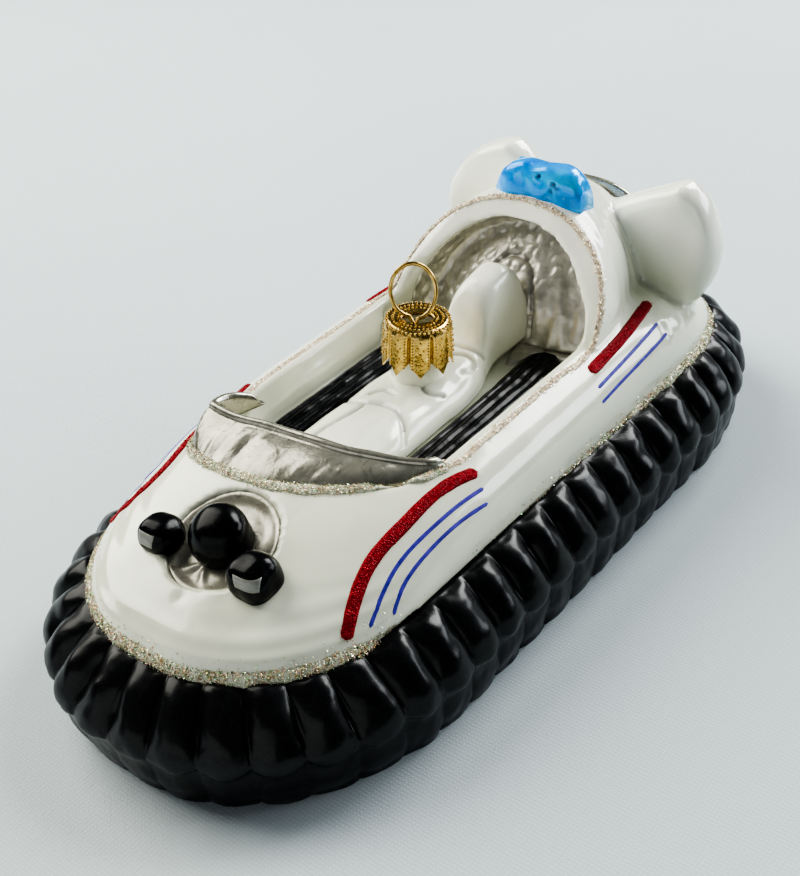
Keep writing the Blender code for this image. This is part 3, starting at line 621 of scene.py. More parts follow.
def even_steps(points, count):
    # Points at even steps along a line of points, both ends included
    run = [0.0]
    for p, q in zip(points, points[1:]):
        run.append(run[-1] + (q - p).length)
    made = []
    k = 0
    for j in range(count + 1):
        want = run[-1] * j / count
        while k < len(points) - 2 and run[k + 1] < want:
            k += 1
        span = run[k + 1] - run[k]
        made.append(points[k].lerp(points[k + 1], (want - run[k]) / span if span else 0.0))
    return made


def line_length(points):
    return sum((q - p).length for p, q in zip(points, points[1:]))


def ease(before, points, after):
    # Points drawn a little towards those on both sides of them
    return [(p + q * 2.0 + r) / 4.0 for p, q, r in zip(before, points, after)]


def run_at(line, k):
    # Way along a line of points at one of them
    return line[min(k + 1, len(line) - 1)] - line[max(k - 1, 0)]


def plan_half_width(plan, y):
    if y < plan["bow_start"]:
        t = (plan["bow_start"] - y) / (plan["bow_start"] - plan["bow"])
        power = plan["bow_power"]
    elif y > plan["stern_start"]:
        t = (y - plan["stern_start"]) / (plan["stern"] - plan["stern_start"])
        power = plan["stern_power"]
    else:
        return plan["half"]
    t = min(max(t, 0.0), 1.0)
    return plan["half"] * (1.0 - t ** power) ** (1.0 / power)


def plan_end(plan, end, y_first, count):
    # Even steps along the rounded end, from y_first on the port side round to it on the starboard side
    power = 2.0 / plan[end + "_power"]
    reach = plan[end] - plan[end + "_start"]
    fine = []
    for k in range(PLAN_SAMPLES + 1):
        a = math.pi * k / PLAN_SAMPLES
        y = plan[end + "_start"] + reach * abs(math.sin(a)) ** power
        if (y - y_first) * reach >= 0.0:
            fine.append(Vector((plan["half"] * signed_power(math.cos(a), power), y, 0.0)))
    return even_steps(fine, count)


def new_piece(name, mesh):
    piece = bpy.data.objects.new(name, mesh)
    bpy.context.scene.collection.objects.link(piece)
    return piece


def from_bmesh(name, shape, closed=True):
    # Smooth piece; the faces of an open sheet are left the way they look
    mesh = bpy.data.meshes.new(name)
    if closed:
        bmesh.ops.recalc_face_normals(shape, faces=shape.faces)
    shape.to_mesh(mesh)
    shape.free()
    mesh.shade_smooth()
    return new_piece(name, mesh)


def loft(name, rings, closed_rows=False):
    # Skin over rings of matching points, closed by a face at each end or round on itself
    shape = bmesh.new()
    rows = [[shape.verts.new(p) for p in ring] for ring in rings]
    count = len(rings[0])
    pairs = list(zip(rows, rows[1:]))
    if closed_rows:
        pairs.append((rows[-1], rows[0]))
    for row, above in pairs:
        for k in range(count):
            n = (k + 1) % count
            shape.faces.new((row[k], row[n], above[n], above[k]))
    if not closed_rows:
        shape.faces.new(rows[0][::-1])
        shape.faces.new(rows[-1])
    return from_bmesh(name, shape)


def turned(name, profile, steps=TURNED_STEPS, wobble=None):
    # Round solid from a profile of radius and height, from the axis at its top to the axis at its foot
    shape = bmesh.new()
    rings = []
    for radius, height in profile[1:-1]:
        ring = []
        for k in range(steps):
            a = 2.0 * math.pi * k / steps
            r, h = (radius, height) if wobble is None else wobble(radius, height, a)
            ring.append(shape.verts.new((r * math.cos(a) * MM, r * math.sin(a) * MM, h * MM)))
        rings.append(ring)
    top = shape.verts.new((0.0, 0.0, profile[0][1] * MM))
    foot = shape.verts.new((0.0, 0.0, profile[-1][1] * MM))
    for k in range(steps):
        n = (k + 1) % steps
        shape.faces.new((top, rings[0][k], rings[0][n]))
        shape.faces.new((foot, rings[-1][n], rings[-1][k]))
        for ring, below in zip(rings, rings[1:]):
            shape.faces.new((ring[k], below[k], below[n], ring[n]))
    return from_bmesh(name, shape)


def settle(piece):
    # Object's modifiers applied
    depsgraph = bpy.context.evaluated_depsgraph_get()
    mesh = bpy.data.meshes.new_from_object(piece.evaluated_get(depsgraph))
    piece.modifiers.clear()
    piece.data = mesh
    return piece


def combine(piece, tool, operation):
    step = piece.modifiers.new("combine", "BOOLEAN")
    step.operation = operation
    step.solver = "MANIFOLD"
    step.object = tool
    settle(piece)
    bpy.data.objects.remove(tool, do_unlink=True)
    return piece


def join(name, pieces):
    # One object from several, their transforms kept
    shape = bmesh.new()
    for piece in pieces:
        mesh = piece.data.copy()
        mesh.transform(piece.matrix_world)
        shape.from_mesh(mesh)
        bpy.data.objects.remove(piece, do_unlink=True)
    mesh = bpy.data.meshes.new(name)
    shape.to_mesh(mesh)
    shape.free()
    return new_piece(name, mesh)


def put(piece, place, tilt=0.0):
    # Mesh moved to its place and turned about X, the object itself left at the origin
    piece.data.transform(Matrix.Translation(at(*place)) @ Matrix.Rotation(math.radians(tilt), 4, "X"))
    return piece


def on_cap_axis(piece, turn=0.0):
    # Mesh moved from the cap's own axis to where the cap stands
    lean_x, lean_y = (math.radians(angle) for angle in CAP_AXIS_TILT)
    tilt = Matrix.Rotation(lean_y, 4, "Y") @ Matrix.Rotation(lean_x, 4, "X")
    stand = Matrix.Translation(at(*CAP_TOP)) @ tilt
    piece.data.transform(stand @ Matrix.Rotation(math.radians(turn), 4, "Z"))
    return piece


def dress(piece, paint, body="glass", replaces=()):
    piece.data.materials.clear()
    piece.data.materials.append(paint)
    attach(piece, body)
    if replaces:
        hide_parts(*replaces)
    return piece


def roughen(piece, kind):
    # Points moved along their normals by smooth noise
    mesh = piece.data
    for size, height, seed in UNEVENNESS[kind]:
        offset = Vector((seed, seed * 1.7, seed * 0.6))
        moves = []
        for vertex in mesh.vertices:
            moves.append(vertex.normal * noise.noise(vertex.co / (size * MM) + offset) * height * MM)
        for vertex, move in zip(mesh.vertices, moves):
            vertex.co += move
    return piece


def start_material(name, colour, roughness, metallic=0.0, coat=0.0, coat_roughness=0.03, ior=1.5):
    paint = bpy.data.materials.new(name)
    paint.use_nodes = True
    shader = paint.node_tree.nodes["Principled BSDF"]
    shader.inputs["Base Color"].default_value = (*colour, 1.0)
    shader.inputs["Roughness"].default_value = roughness
    shader.inputs["Metallic"].default_value = metallic
    shader.inputs["Coat Weight"].default_value = coat
    shader.inputs["Coat Roughness"].default_value = coat_roughness
    shader.inputs["IOR"].default_value = ior
    return paint, shader


def add_node(owner, kind, inputs=(), **settings):
    # Shader node with its settings, and with inputs set to a value or linked to another node's output
    made = owner.node_tree.nodes.new("ShaderNode" + kind)
    for word, value in settings.items():
        setattr(made, word, value)
    for socket, value in inputs:
        if isinstance(value, bpy.types.NodeSocket):
            owner.node_tree.links.new(value, made.inputs[socket])
        else:
            made.inputs[socket].default_value = value
    return made


def link(paint, source, shader, socket):
    paint.node_tree.links.new(source, shader.inputs[socket])


def object_place(paint):
    return add_node(paint, "TexCoord").outputs["Object"]


def add_noise(paint, size, detail=3.0, stretch=(1.0, 1.0, 1.0), distortion=0.0):
    # Noise whose features are about the given size in millimetres, on the object's own coordinates
    mapping = add_node(paint, "Mapping", (("Vector", object_place(paint)), ("Scale", stretch)))
    inputs = (("Vector", mapping.outputs["Vector"]), ("Scale", 1.0 / (size * MM)), ("Detail", detail),
              ("Distortion", distortion))
    return add_node(paint, "TexNoise", inputs).outputs["Fac"]


def add_cells(paint, size):
    # Cells about the given size: distance from their middles, and a colour for each
    texture = add_node(paint, "TexVoronoi", (("Vector", object_place(paint)), ("Scale", 1.0 / (size * MM))))
    return texture.outputs["Distance"], texture.outputs["Color"]


def add_product(paint, first, second):
    return add_node(paint, "Math", ((0, first), (1, second)), operation="MULTIPLY").outputs[0]


def add_threads(paint, pitch):
    # Crossing threads at a given pitch in millimetres, uneven along their length
    waves = []
    for direction in ("X", "Y"):
        inputs = (("Vector", object_place(paint)), ("Scale", ONE_WAVE_A_METRE / (pitch * MM)),
                  ("Distortion", 1.5), ("Detail", 1.0), ("Detail Scale", 0.6))
        waves.append(add_node(paint, "TexWave", inputs, bands_direction=direction).outputs["Fac"])
    return add_product(paint, *waves)


def add_rise(paint, low, high):
    # Value that grows from 0 to 1 between two heights in millimetres
    split = add_node(paint, "SeparateXYZ", (("Vector", object_place(paint)),))
    inputs = (("Value", split.outputs["Z"]), ("From Min", low * MM), ("From Max", high * MM))
    return add_node(paint, "MapRange", inputs).outputs["Result"]


def add_ramp(owner, source, stops):
    # Colours or greys read from a value, as stops of position and colour
    ramp = add_node(owner, "ValToRGB", (("Fac", source),))
    elements = ramp.color_ramp.elements
    while len(elements) < len(stops):
        elements.new(0.5)
    for element, (position, colour) in zip(elements, stops):
        element.position = position
        element.color = (*colour, 1.0)
    return ramp.outputs["Color"]


def grey(value):
    return (value, value, value)


def add_bump(paint, shader, source, distance, strength=1.0):
    # Bump on top of those that the shader already has
    inputs = [("Distance", distance * MM), ("Strength", strength), ("Height", source)]
    previous = shader.inputs["Normal"].links
    if previous:
        inputs.append(("Normal", previous[0].from_socket))
    link(paint, add_node(paint, "Bump", inputs).outputs["Normal"], shader, "Normal")


def vary_gloss(paint, shader, size, *stops):
    # Roughness that wanders between two values
    greys = [(place, grey(value)) for place, value in stops]
    link(paint, add_ramp(paint, add_noise(paint, size), greys), shader, "Roughness")


def add_mix(paint, share, first, second):
    # Blend of two colours, of which the second may be a fixed one
    if not isinstance(second, bpy.types.NodeSocket):
        fixed = add_node(paint, "RGB")
        fixed.outputs[0].default_value = (*second, 1.0)
        second = fixed.outputs[0]
    mix = add_node(paint, "Mix", data_type="RGBA")
    for source, socket in ((share, "Factor"), (first, "A"), (second, "B")):
        link(paint, source, mix, socket)
    return mix.outputs["Result"]


def darken_painted_shade_and_spots(paint, colour, dark):
    # Colour darkened where the mesh marks it: painted shade in channels, grooves and hollows, and the light
    # bar's dark spots
    painted_shade_and_spots = add_node(paint, "Attribute", attribute_name="painted_shade_and_spots")
    return add_mix(paint, painted_shade_and_spots.outputs["Fac"], colour, dark)


def mark_painted_shade_and_spots(piece, values):
    layer = piece.data.attributes.new("painted_shade_and_spots", "FLOAT", "POINT")
    layer.data.foreach_set("value", values)


def pearl_material(name, light, dark, pale):
    # Pearly white enamel over uneven glass, paler up high as painted light on the hood and fins, with a few
    # dark specks
    paint, shader = start_material(name, light, 0.2, coat=0.7, coat_roughness=0.06)
    clouds = add_ramp(paint, add_noise(paint, 9.0, 4.0), ((0.3, dark), (0.7, light)))
    # Painted light: paler between the heights of the hood and fins
    clouds = add_mix(paint, add_rise(paint, *PAINTED_LIGHT_HEIGHTS), clouds, pale)
    distance, cell = add_cells(paint, 2.6)
    near = add_ramp(paint, distance, ((0.035, grey(1.0)), (0.06, grey(0.0))))
    rare = add_ramp(paint, cell, ((0.87, grey(0.0)), (0.88, grey(1.0))))
    clouds = add_mix(paint, add_product(paint, near, rare), clouds, (0.30, 0.27, 0.23))
    # Painted shade where the mesh marks it, in the seat's channels
    link(paint, darken_painted_shade_and_spots(paint, clouds, (0.40, 0.39, 0.35)), shader, "Base Color")
    vary_gloss(paint, shader, 3.0, (0.3, 0.14), (0.7, 0.27))
    add_bump(paint, shader, add_noise(paint, 4.5, 2.0), 0.05)
    return paint


def enamel_material(name, roughness, coat, ior):
    # Glossy black enamel, a little uneven, with fine dust
    paint, shader = start_material(name, (0.003, 0.003, 0.004), roughness, 0.0, coat, 0.13, ior)
    shader.inputs["Coat IOR"].default_value = 1.4
    dust = ((0.45, (0.002, 0.002, 0.003)), (0.8, (0.009, 0.01, 0.011)))
    link(paint, add_ramp(paint, add_noise(paint, 0.35, 6.0), dust), shader, "Base Color")
    vary_gloss(paint, shader, 2.5, (0.3, roughness), (0.75, roughness + 0.16))
    add_bump(paint, shader, add_noise(paint, 3.0, 2.0), 0.08)
    add_bump(paint, shader, add_noise(paint, 0.6, 2.0), 0.006)
    return paint


def silver_material(name, stretch, wave, colour, dark, rough, metallic):
    # Silvering behind wavy glass, darker in patches and streaks
    paint, shader = start_material(name, colour, rough, metallic, 0.3, 0.06)
    stain = add_ramp(paint, add_noise(paint, 5.0, 5.0, stretch, 1.2), ((0.3, dark), (0.65, colour)))
    streak = add_noise(paint, 1.5, 3.0, stretch, 1.6)
    streak = add_ramp(paint, streak, ((0.36, grey(1.0)), (0.52, grey(0.0))))
    streaked = add_ramp(paint, streak, ((0.0, colour), (1.0, dark)))
    link(paint, add_mix(paint, streak, stain, streaked), shader, "Base Color")
    vary_gloss(paint, shader, 1.5, (0.3, rough), (0.8, rough + 0.14))
    add_bump(paint, shader, add_noise(paint, 3.2, 2.0, stretch, 1.5), wave)
    add_bump(paint, shader, add_noise(paint, 1.2, 2.0, stretch, 1.0), wave / 3.0)
    return paint


def pane_material():
    # Matt silver paint, brushed on thinly
    paint, shader = start_material("pane_silver", (0.28, 0.28, 0.25), 0.5, metallic=0.3, coat=0.2)
    strokes = add_noise(paint, 0.8, 4.0, (0.4, 0.4, 2.0))
    tint = add_ramp(paint, strokes, ((0.3, (0.22, 0.22, 0.195)), (0.7, (0.31, 0.31, 0.28))))
    link(paint, tint, shader, "Base Color")
    vary_gloss(paint, shader, 0.5, (0.3, 0.38), (0.8, 0.55))
    add_bump(paint, shader, add_noise(paint, 0.4), 0.01)
    return paint


def pebbled_material():
    # Silvering over pebbled glass, with painted shade in its hollows and in the groove round the dome
    paint, shader = start_material("pebbled_silver", (0.60, 0.58, 0.53), 0.16, metallic=0.6, coat=0.3)
    stops = ((0.3, (0.42, 0.405, 0.34)), (0.62, (0.63, 0.61, 0.53)))
    stain = add_ramp(paint, add_noise(paint, 2.4, 4.0, distortion=0.8), stops)
    link(paint, darken_painted_shade_and_spots(paint, stain, (0.17, 0.155, 0.13)), shader, "Base Color")
    vary_gloss(paint, shader, 1.2, (0.3, 0.30), (0.75, 0.44))
    add_bump(paint, shader, add_noise(paint, 1.1, 2.0), 0.04)
    return paint


def blue_material():
    # Clear blue lacquer over silvering, with the silvering's reflections painted in as pale and dark clouds
    paint, shader = start_material("blue_lacquer", (0.0, 0.30, 0.90), 0.24, metallic=0.2, coat=0.6, ior=1.4)
    stops = ((0.26, (0.0, 0.19, 0.78)), (0.5, (0.0, 0.38, 1.0)), (0.78, (0.02, 0.64, 1.0)))
    # Painted reflection: pale cyan and dark blue clouds
    tint = add_ramp(paint, add_noise(paint, 3.6, 3.0, distortion=0.6), stops)
    link(paint, darken_painted_shade_and_spots(paint, tint, (0.002, 0.02, 0.10)), shader, "Base Color")
    vary_gloss(paint, shader, 1.2, (0.3, 0.12), (0.8, 0.28))
    add_bump(paint, shader, add_noise(paint, 2.4, 2.0, distortion=0.6), 0.03)
    return paint


def gold_material(name, bumps):
    # Gilt sheet metal, browner where painted shade is marked, in the cap's grooves and inside it
    paint, shader = start_material(name, (0.85, 0.54, 0.12), 0.24, metallic=1.0)
    stops = ((0.3, (0.40, 0.265, 0.085)), (0.5, (0.62, 0.43, 0.145)), (0.8, (0.84, 0.63, 0.26)))
    gilt = add_ramp(paint, add_noise(paint, 0.9, 3.0), stops)
    link(paint, darken_painted_shade_and_spots(paint, gilt, (0.26, 0.13, 0.025)), shader, "Base Color")
    vary_gloss(paint, shader, 0.5, (0.3, 0.16), (0.8, 0.32))
    add_bump(paint, shader, add_noise(paint, 0.45, 2.0), bumps)
    return paint


def flake_material(name, colours, metallic=0.6, roughness=0.18, ior=1.5):
    # Glitter, each chip of its own colour
    paint, shader = start_material(name, colours[0], roughness, metallic=metallic, ior=ior)
    chip = add_node(paint, "NewGeometry").outputs["Random Per Island"]
    stops = [((k + 0.5) / len(colours), colour) for k, colour in enumerate(colours)]
    link(paint, add_ramp(paint, chip, stops), shader, "Base Color")
    vary_gloss(paint, shader, 0.2, (0.3, 0.1), (0.8, 0.34))
    return paint


def glue_material(name, light, dark, coat=0.3, ior=1.5):
    # Clear glue thick with fine glitter
    paint, shader = start_material(name, light, 0.3, metallic=0.15, coat=coat, coat_roughness=0.2, ior=ior)
    distance, cell = add_cells(paint, 0.22)
    link(paint, add_ramp(paint, cell, ((0.2, dark), (0.7, light))), shader, "Base Color")
    link(paint, add_ramp(paint, distance, ((0.1, grey(0.2)), (0.7, grey(0.5)))), shader, "Roughness")
    add_bump(paint, shader, distance, 0.12)
    return paint


def ink_material():
    # Violet-blue pen line, thinner here and there
    paint, shader = start_material("blue_ink", (0.06, 0.05, 0.42), 0.4, ior=1.3)
    stops = ((0.3, (0.04, 0.03, 0.29)), (0.75, (0.09, 0.075, 0.46)))
    link(paint, add_ramp(paint, add_noise(paint, 1.0, 4.0), stops), shader, "Base Color")
    add_bump(paint, shader, add_noise(paint, 0.5), 0.02)
    return paint


def floor_material():
    # Pale blue-grey table cloth, very finely woven
    paint, shader = start_material("pale_floor", (0.54, 0.60, 0.625), 0.85)
    clouds = add_noise(paint, 160.0, 2.0)
    cloth = add_ramp(paint, clouds, ((0.3, (0.525, 0.59, 0.615)), (0.7, (0.565, 0.63, 0.65))))
    shadow = add_ramp(paint, clouds, ((0.3, (0.465, 0.525, 0.55)), (0.7, (0.505, 0.565, 0.585))))
    threads = add_threads(paint, 0.55)
    link(paint, add_mix(paint, threads, shadow, cloth), shader, "Base Color")
    add_bump(paint, shader, threads, 0.05, 0.5)
    add_bump(paint, shader, add_noise(paint, 0.5, 2.0, (1.0, 2.2, 1.0)), 0.1, 0.6)
    return paint


def skirt_stations():
    # Matching points on both plans, round from the port bow
    plans = (SEAM_PLAN, WIDE_PLAN)
    steps = BOW_FINGERS * FINGER_STEPS
    bow = list(zip(*[plan_end(plan, "bow", FIRST_VALLEY_Y, steps) for plan in plans]))
    steps = STERN_FINGERS * FINGER_STEPS
    stern = list(zip(*[plan_end(plan, "stern", LAST_VALLEY_Y, steps) for plan in plans]))
    side_steps = SIDE_FINGERS * FINGER_STEPS
    side = []
    for k in range(side_steps + 1):
        y = FIRST_VALLEY_Y + (LAST_VALLEY_Y - FIRST_VALLEY_Y) * k / side_steps
        side.append([Vector((plan_half_width(plan, y), y, 0.0)) for plan in plans])
    mirrored = [(seam * MIRRORED, wide * MIRRORED) for part in (side, stern) for seam, wide in part[:-1]]
    return bow[:-1] + mirrored + side[:0:-1]


def make_skirt(paint):
    # Fingered skirt: round pods with sharp valleys, and under them a lower band that draws in
    chance = random.Random(SEEDS["skirt"])
    stations = skirt_stations()
    fingers = len(stations) // FINGER_STEPS
    swells = [1.0 + chance.uniform(-FINGER_VARIATION, FINGER_VARIATION) for k in range(fingers)]
    rings = []
    for share, height, bulge, angle in spline_rows(SKIRT_ROWS, ROW_STEPS["skirt"]):
        lean = math.radians(angle)
        droop = SKIRT_DROOP * math.exp(-((height - SKIRT_RIM_Z) / SKIRT_DROOP_SPREAD) ** 2)
        ring = []
        for k, (seam, wide) in enumerate(stations):
            across = (k % FINGER_STEPS) / FINGER_STEPS
            pod = math.sin(math.pi * across)
            finger = swells[k // FINGER_STEPS]
            swell = pod ** FINGER_SHARPNESS * bulge * finger
            point = seam.lerp(wide, share) + (wide - seam).normalized() * swell * math.cos(lean)
            low = droop * (pod ** SKIRT_DROOP_POWER - 0.5) * finger
            ring.append(at(point.x, point.y, height + swell * math.sin(lean) - low))
        rings.append(ring)
    skirt = roughen(loft("skirt_fingers", rings), "skirt")
    for vertex in skirt.data.vertices:
        vertex.co.z = max(vertex.co.z, 0.0)
    return dress(skirt, paint, replaces=("skirt",))


def hull_loft():
    rings = []
    for y, rise, power in spline_rows(HULL_SPINE, ROW_STEPS["hull"]):
        half = plan_half_width(SEAM_PLAN, y)
        rings.append([at(half * x, y, SEAM_Z + rise * z) for x, z in arch(HULL_ARC_STEPS, power)])
    return loft("hull_raw", rings)


def hoop(size, power, lean, bottom=None):
    # Arch, on two straight feet if it has a bottom: half width, foot height, crown height, foot Y, crown Y
    half, foot, crown, foot_y, crown_y = size
    ring = []
    for x, rise in arch(HOOP_STEPS, power):
        ring.append(at(half * x, foot_y + (crown_y - foot_y) * rise ** lean, foot + (crown - foot) * rise))
    if bottom is not None:
        ring = [at(half, foot_y, bottom)] + ring + [at(-half, foot_y, bottom)]
    return ring


def hoop_loft(name, hoops, shape, bottom):
    return loft(name, [hoop(size, *shape, bottom) for size in spline_rows(hoops, ROW_STEPS["hoops"])])


def cockpit_loft():
    rings = []
    for z, half, front, rear in spline_rows(COCKPIT_ROWS, ROW_STEPS["cockpit"]):
        ring = []
        for k in range(COCKPIT_STEPS):
            a = 2.0 * math.pi * k / COCKPIT_STEPS
            x = half * signed_power(math.cos(a), COCKPIT_CORNER)
            y = (front + rear) / 2.0 + (rear - front) / 2.0 * signed_power(math.sin(a), COCKPIT_CORNER)
            ring.append(at(x, y, z))
        rings.append(ring)
    return loft("cockpit_cutter", rings)


def fin_solid(side, outline):
    # Thick round-edged blade from its outline
    points = curve_points([(side * x, 0.0, z) for x, z in outline], FIN_STEPS)
    rings = []
    for inset, along in FIN_SECTION:
        ring = []
        for k, point in enumerate(points):
            run = run_at(points, k).normalized()
            inward = Vector((-run.z, 0.0, run.x)) * side
            place = point + inward * inset * FIN_ROUND
            ring.append(at(place.x, FIN_MIDDLE_Y + along * FIN_THICK / 2.0, place.z))
        rings.append(ring)
    return loft("fin_raw", rings)


def make_glass():
    # Hull, hood and fins under one soft skin, from which the fins are parted later
    body = hull_loft()
    combine(body, hoop_loft("hood_raw", HOOD_HOOPS, HOOD_SHAPE, HOOD_FOOT_Z), "UNION")
    for word, side in SIDES:
        combine(body, fin_solid(side, FIN_OUTLINES[word]), "UNION")
    combine(body, cockpit_loft(), "DIFFERENCE")
    combine(body, hoop_loft("niche_cutter", NICHE_HOOPS, NICHE_SHAPE, COCKPIT_FLOOR_Z), "DIFFERENCE")
    combine(body, put(turned("pocket_cutter", POCKET_PROFILE), DISH_PLACE, DISH_TILT), "DIFFERENCE")
    skin = body.modifiers.new("skin", "REMESH")
    skin.mode = "VOXEL"
    skin.voxel_size = SKIN_VOXEL * MM
    soften = body.modifiers.new("soften", "SMOOTH")
    soften.factor = 0.5
    soften.iterations = SKIN_SMOOTHING
    settle(body)
    body.data.shade_smooth()
    shape_glass(body)
    return body


def shape_glass(body):
    # Unevenness of blown glass, faint rings low on the nose, folds on the hood's port flank, and a dimple
    moves = []
    for vertex in body.data.vertices:
        x, y, z = vertex.co / MM
        y += MIDDLE_Y
        rise = z - SEAM_Z
        move = GLASS_BUMP_HEIGHT * noise.noise(Vector((x, y, z)) / GLASS_BUMP_SIZE)
        if y < RINGS_REAR_Y and RINGS_LOW < rise < RINGS_HIGH:
            fade = min((RINGS_REAR_Y - y) / RINGS_FADE, 1.0)
            fade *= math.sin(math.pi * (rise - RINGS_LOW) / (RINGS_HIGH - RINGS_LOW))
            move += RINGS_HEIGHT * fade * math.sin(2.0 * math.pi * rise / RINGS_PITCH)
        if x > FOLDS_INNER_X and FOLDS_FRONT_Y < y < FOLDS_REAR_Y and z > FOLDS_FOOT_Z:
            fade = math.sin(math.pi * (y - FOLDS_FRONT_Y) / (FOLDS_REAR_Y - FOLDS_FRONT_Y))
            fade *= min((x - FOLDS_INNER_X) / 3.0, 1.0)
            move += FOLDS_HEIGHT * fade * noise.noise(Vector(((y + 0.4 * x) / 1.9, z / 9.0, 3.0)))
        dent = math.hypot(x - DIMPLE_PLACE[0], y - DIMPLE_PLACE[1])
        move -= DIMPLE_DEPTH * math.exp(-(dent / DIMPLE_RADIUS) ** 2)
        moves.append(vertex.normal * move * MM)
    for vertex, move in zip(body.data.vertices, moves):
        vertex.co += move


def fin_cutter(side):
    shape = bmesh.new()
    bmesh.ops.create_cube(shape, size=MM)
    bmesh.ops.scale(shape, verts=shape.verts, vec=FIN_CUT_BOX)
    wide, deep, tall = FIN_CUT_BOX
    place = (side * (FIN_CUT_X + wide / 2.0), FIN_MIDDLE_Y, FIN_CUT_Z + tall / 2.0)
    return put(from_bmesh("fin_cutter", shape), place)


def part_fins(body, paint):
    # The skin cut at each fin's root into closed pieces that meet face to face
    fins = []
    for word, side in SIDES:
        fin = new_piece("fin_" + word + "_glass", body.data.copy())
        combine(fin, fin_cutter(side), "INTERSECT")
        combine(body, fin_cutter(side), "DIFFERENCE")
        fins.append(dress(fin, paint, replaces=("fin_" + word,)))
    body.name = "hull_glass"
    dress(body, paint, replaces=("hull",))
    for piece in fins + [body]:
        piece.data.shade_smooth()
        piece.data.set_sharp_from_angle(angle=math.radians(SHARP_ANGLE))


def surface_of(piece):
    mesh = piece.data
    return BVHTree.FromPolygons([v.co for v in mesh.vertices], [p.vertices for p in mesh.polygons])


def channel_depth(x, y):
    # How deep the seat's sewn channels are at a point in plan
    depth = 0.0
    for line in SEAT_LINES:
        near = min((px - x) ** 2 + (py - y) ** 2 for px, py, pz in line)
        depth = max(depth, CHANNEL_DEPTH * math.exp(-near / CHANNEL_HALF ** 2))
    return depth


def make_seat(paint):
    rings = []
    for y, half, top, power in spline_rows(SEAT_ROWS, ROW_STEPS["seat"]):
        ring = []
        for x, rise in arch(SEAT_STEPS, power):
            z = SEAT_FOOT_Z + (top - SEAT_FOOT_Z) * rise
            if rise > CHANNEL_LOWEST_SHARE:
                z -= channel_depth(half * x, y)
            ring.append(at(half * x, y, z))
        rings.append(ring)
    seat = loft("seat_quilted", rings)
    seat.modifiers.new("soften", "SMOOTH").iterations = 1
    settle(seat)
    # Painted shade in the channels, darker the deeper they are
    shades = []
    for vertex in seat.data.vertices:
        x, y, z = vertex.co / MM
        depth = channel_depth(x, y + MIDDLE_Y) if z > CHANNEL_LOWEST_Z else 0.0
        shades.append(CHANNEL_SHADE * depth / CHANNEL_DEPTH)
    mark_painted_shade_and_spots(seat, shades)
    roughen(seat, "seat")
    return dress(seat, paint, replaces=("seat",))


def make_well(word, side, paint):
    # Ribbed floor with a wavy painted edge
    rings = []
    for y, inner, outer in spline_rows(WELL_ROWS, ROW_STEPS["well"]):
        wave = noise.noise(Vector((side * 3.0, y / 3.0, 0.0)))
        ends = min(1.0, (y - WELL_RIB_FRONT_Y) / 5.0, max(WELL_ROWS[-1][0] - y, 0.0) / 3.0)
        ring = [at(side * inner, y, WELL_FOOT_Z), at(side * outer, y, WELL_FOOT_Z)]
        for k in range(WELL_STEPS, -1, -1):
            share = k / WELL_STEPS
            x = inner + (outer - inner) * share
            rib = ends * math.sin(math.pi * WELL_RIBS * (share + wave * 0.03)) ** 2
            edge = min(1.0, 6.0 * share, 6.0 * (1.0 - share))
            z = WELL_TOP_Z - WELL_EDGE_DROP * (1.0 - edge) + WELL_RIB_HEIGHT * rib * edge
            ring.append(at(side * x, y, z))
        rings.append(ring)
    well = roughen(loft("well_" + word + "_ribbed", rings), "well")
    return dress(well, paint, replaces=("well_" + word,))


def screen_ring(station, along, left, hull):
    # Section of the windscreen: foot, bulging face with its soft folds, rolled rim and back
    fx, fy, rx, ry, rz = station
    inward = Vector((SCREEN_MIDDLE[0] - fx, SCREEN_MIDDLE[1] - fy, 0.0)).normalized()
    below = hull.ray_cast(at(fx, fy, OVER_NOSE_Z), -UP)[0]
    foot_z = max(below.z / MM, SCREEN_LOWEST) if below else rz - 2.0
    foot = Vector((fx, fy, foot_z - 0.15))
    near = min(along, left, SCREEN_END) / SCREEN_END
    rounding = math.sqrt(1.0 - (1.0 - near) ** 2)
    bulb = SCREEN_BULB * math.exp(-(along / SCREEN_BULB_REACH) ** 2)
    thick = (SCREEN_THICK + bulb) * (0.3 + 0.7 * rounding)
    rim = Vector((rx, ry, rz - thick / 2.0 - 0.9 * (1.0 - rounding)))
    folding = SCREEN_FOLDS[0] if along < SCREEN_FOLD_REACH else SCREEN_FOLDS[1]
    ring = []
    for k in range(SCREEN_FACE_STEPS + 1):
        t = k / SCREEN_FACE_STEPS
        belly = math.sin(math.pi * t)
        bulge = belly * min(0.7, 0.12 * (rim - foot).length)
        fold = noise.noise(Vector((along / 2.1, t * 1.3, 7.0)))
        fold += 0.4 * noise.noise(Vector((along / 0.8, t, 2.0)))
        ring.append(foot.lerp(rim, t) + (UP * 0.8 - inward * 0.6) * (bulge + folding * fold * belly))
    for k in range(1, SCREEN_RIM_STEPS):
        a = math.pi * k / SCREEN_RIM_STEPS
        ring.append(rim + inward * thick / 2.0 * (1.0 - math.cos(a)) + UP * thick / 2.0 * math.sin(a))
    for k in range(SCREEN_BACK_STEPS + 1):
        ring.append((rim + inward * thick).lerp(foot + inward * thick, k / SCREEN_BACK_STEPS))
    return [at(*p) for p in ring]


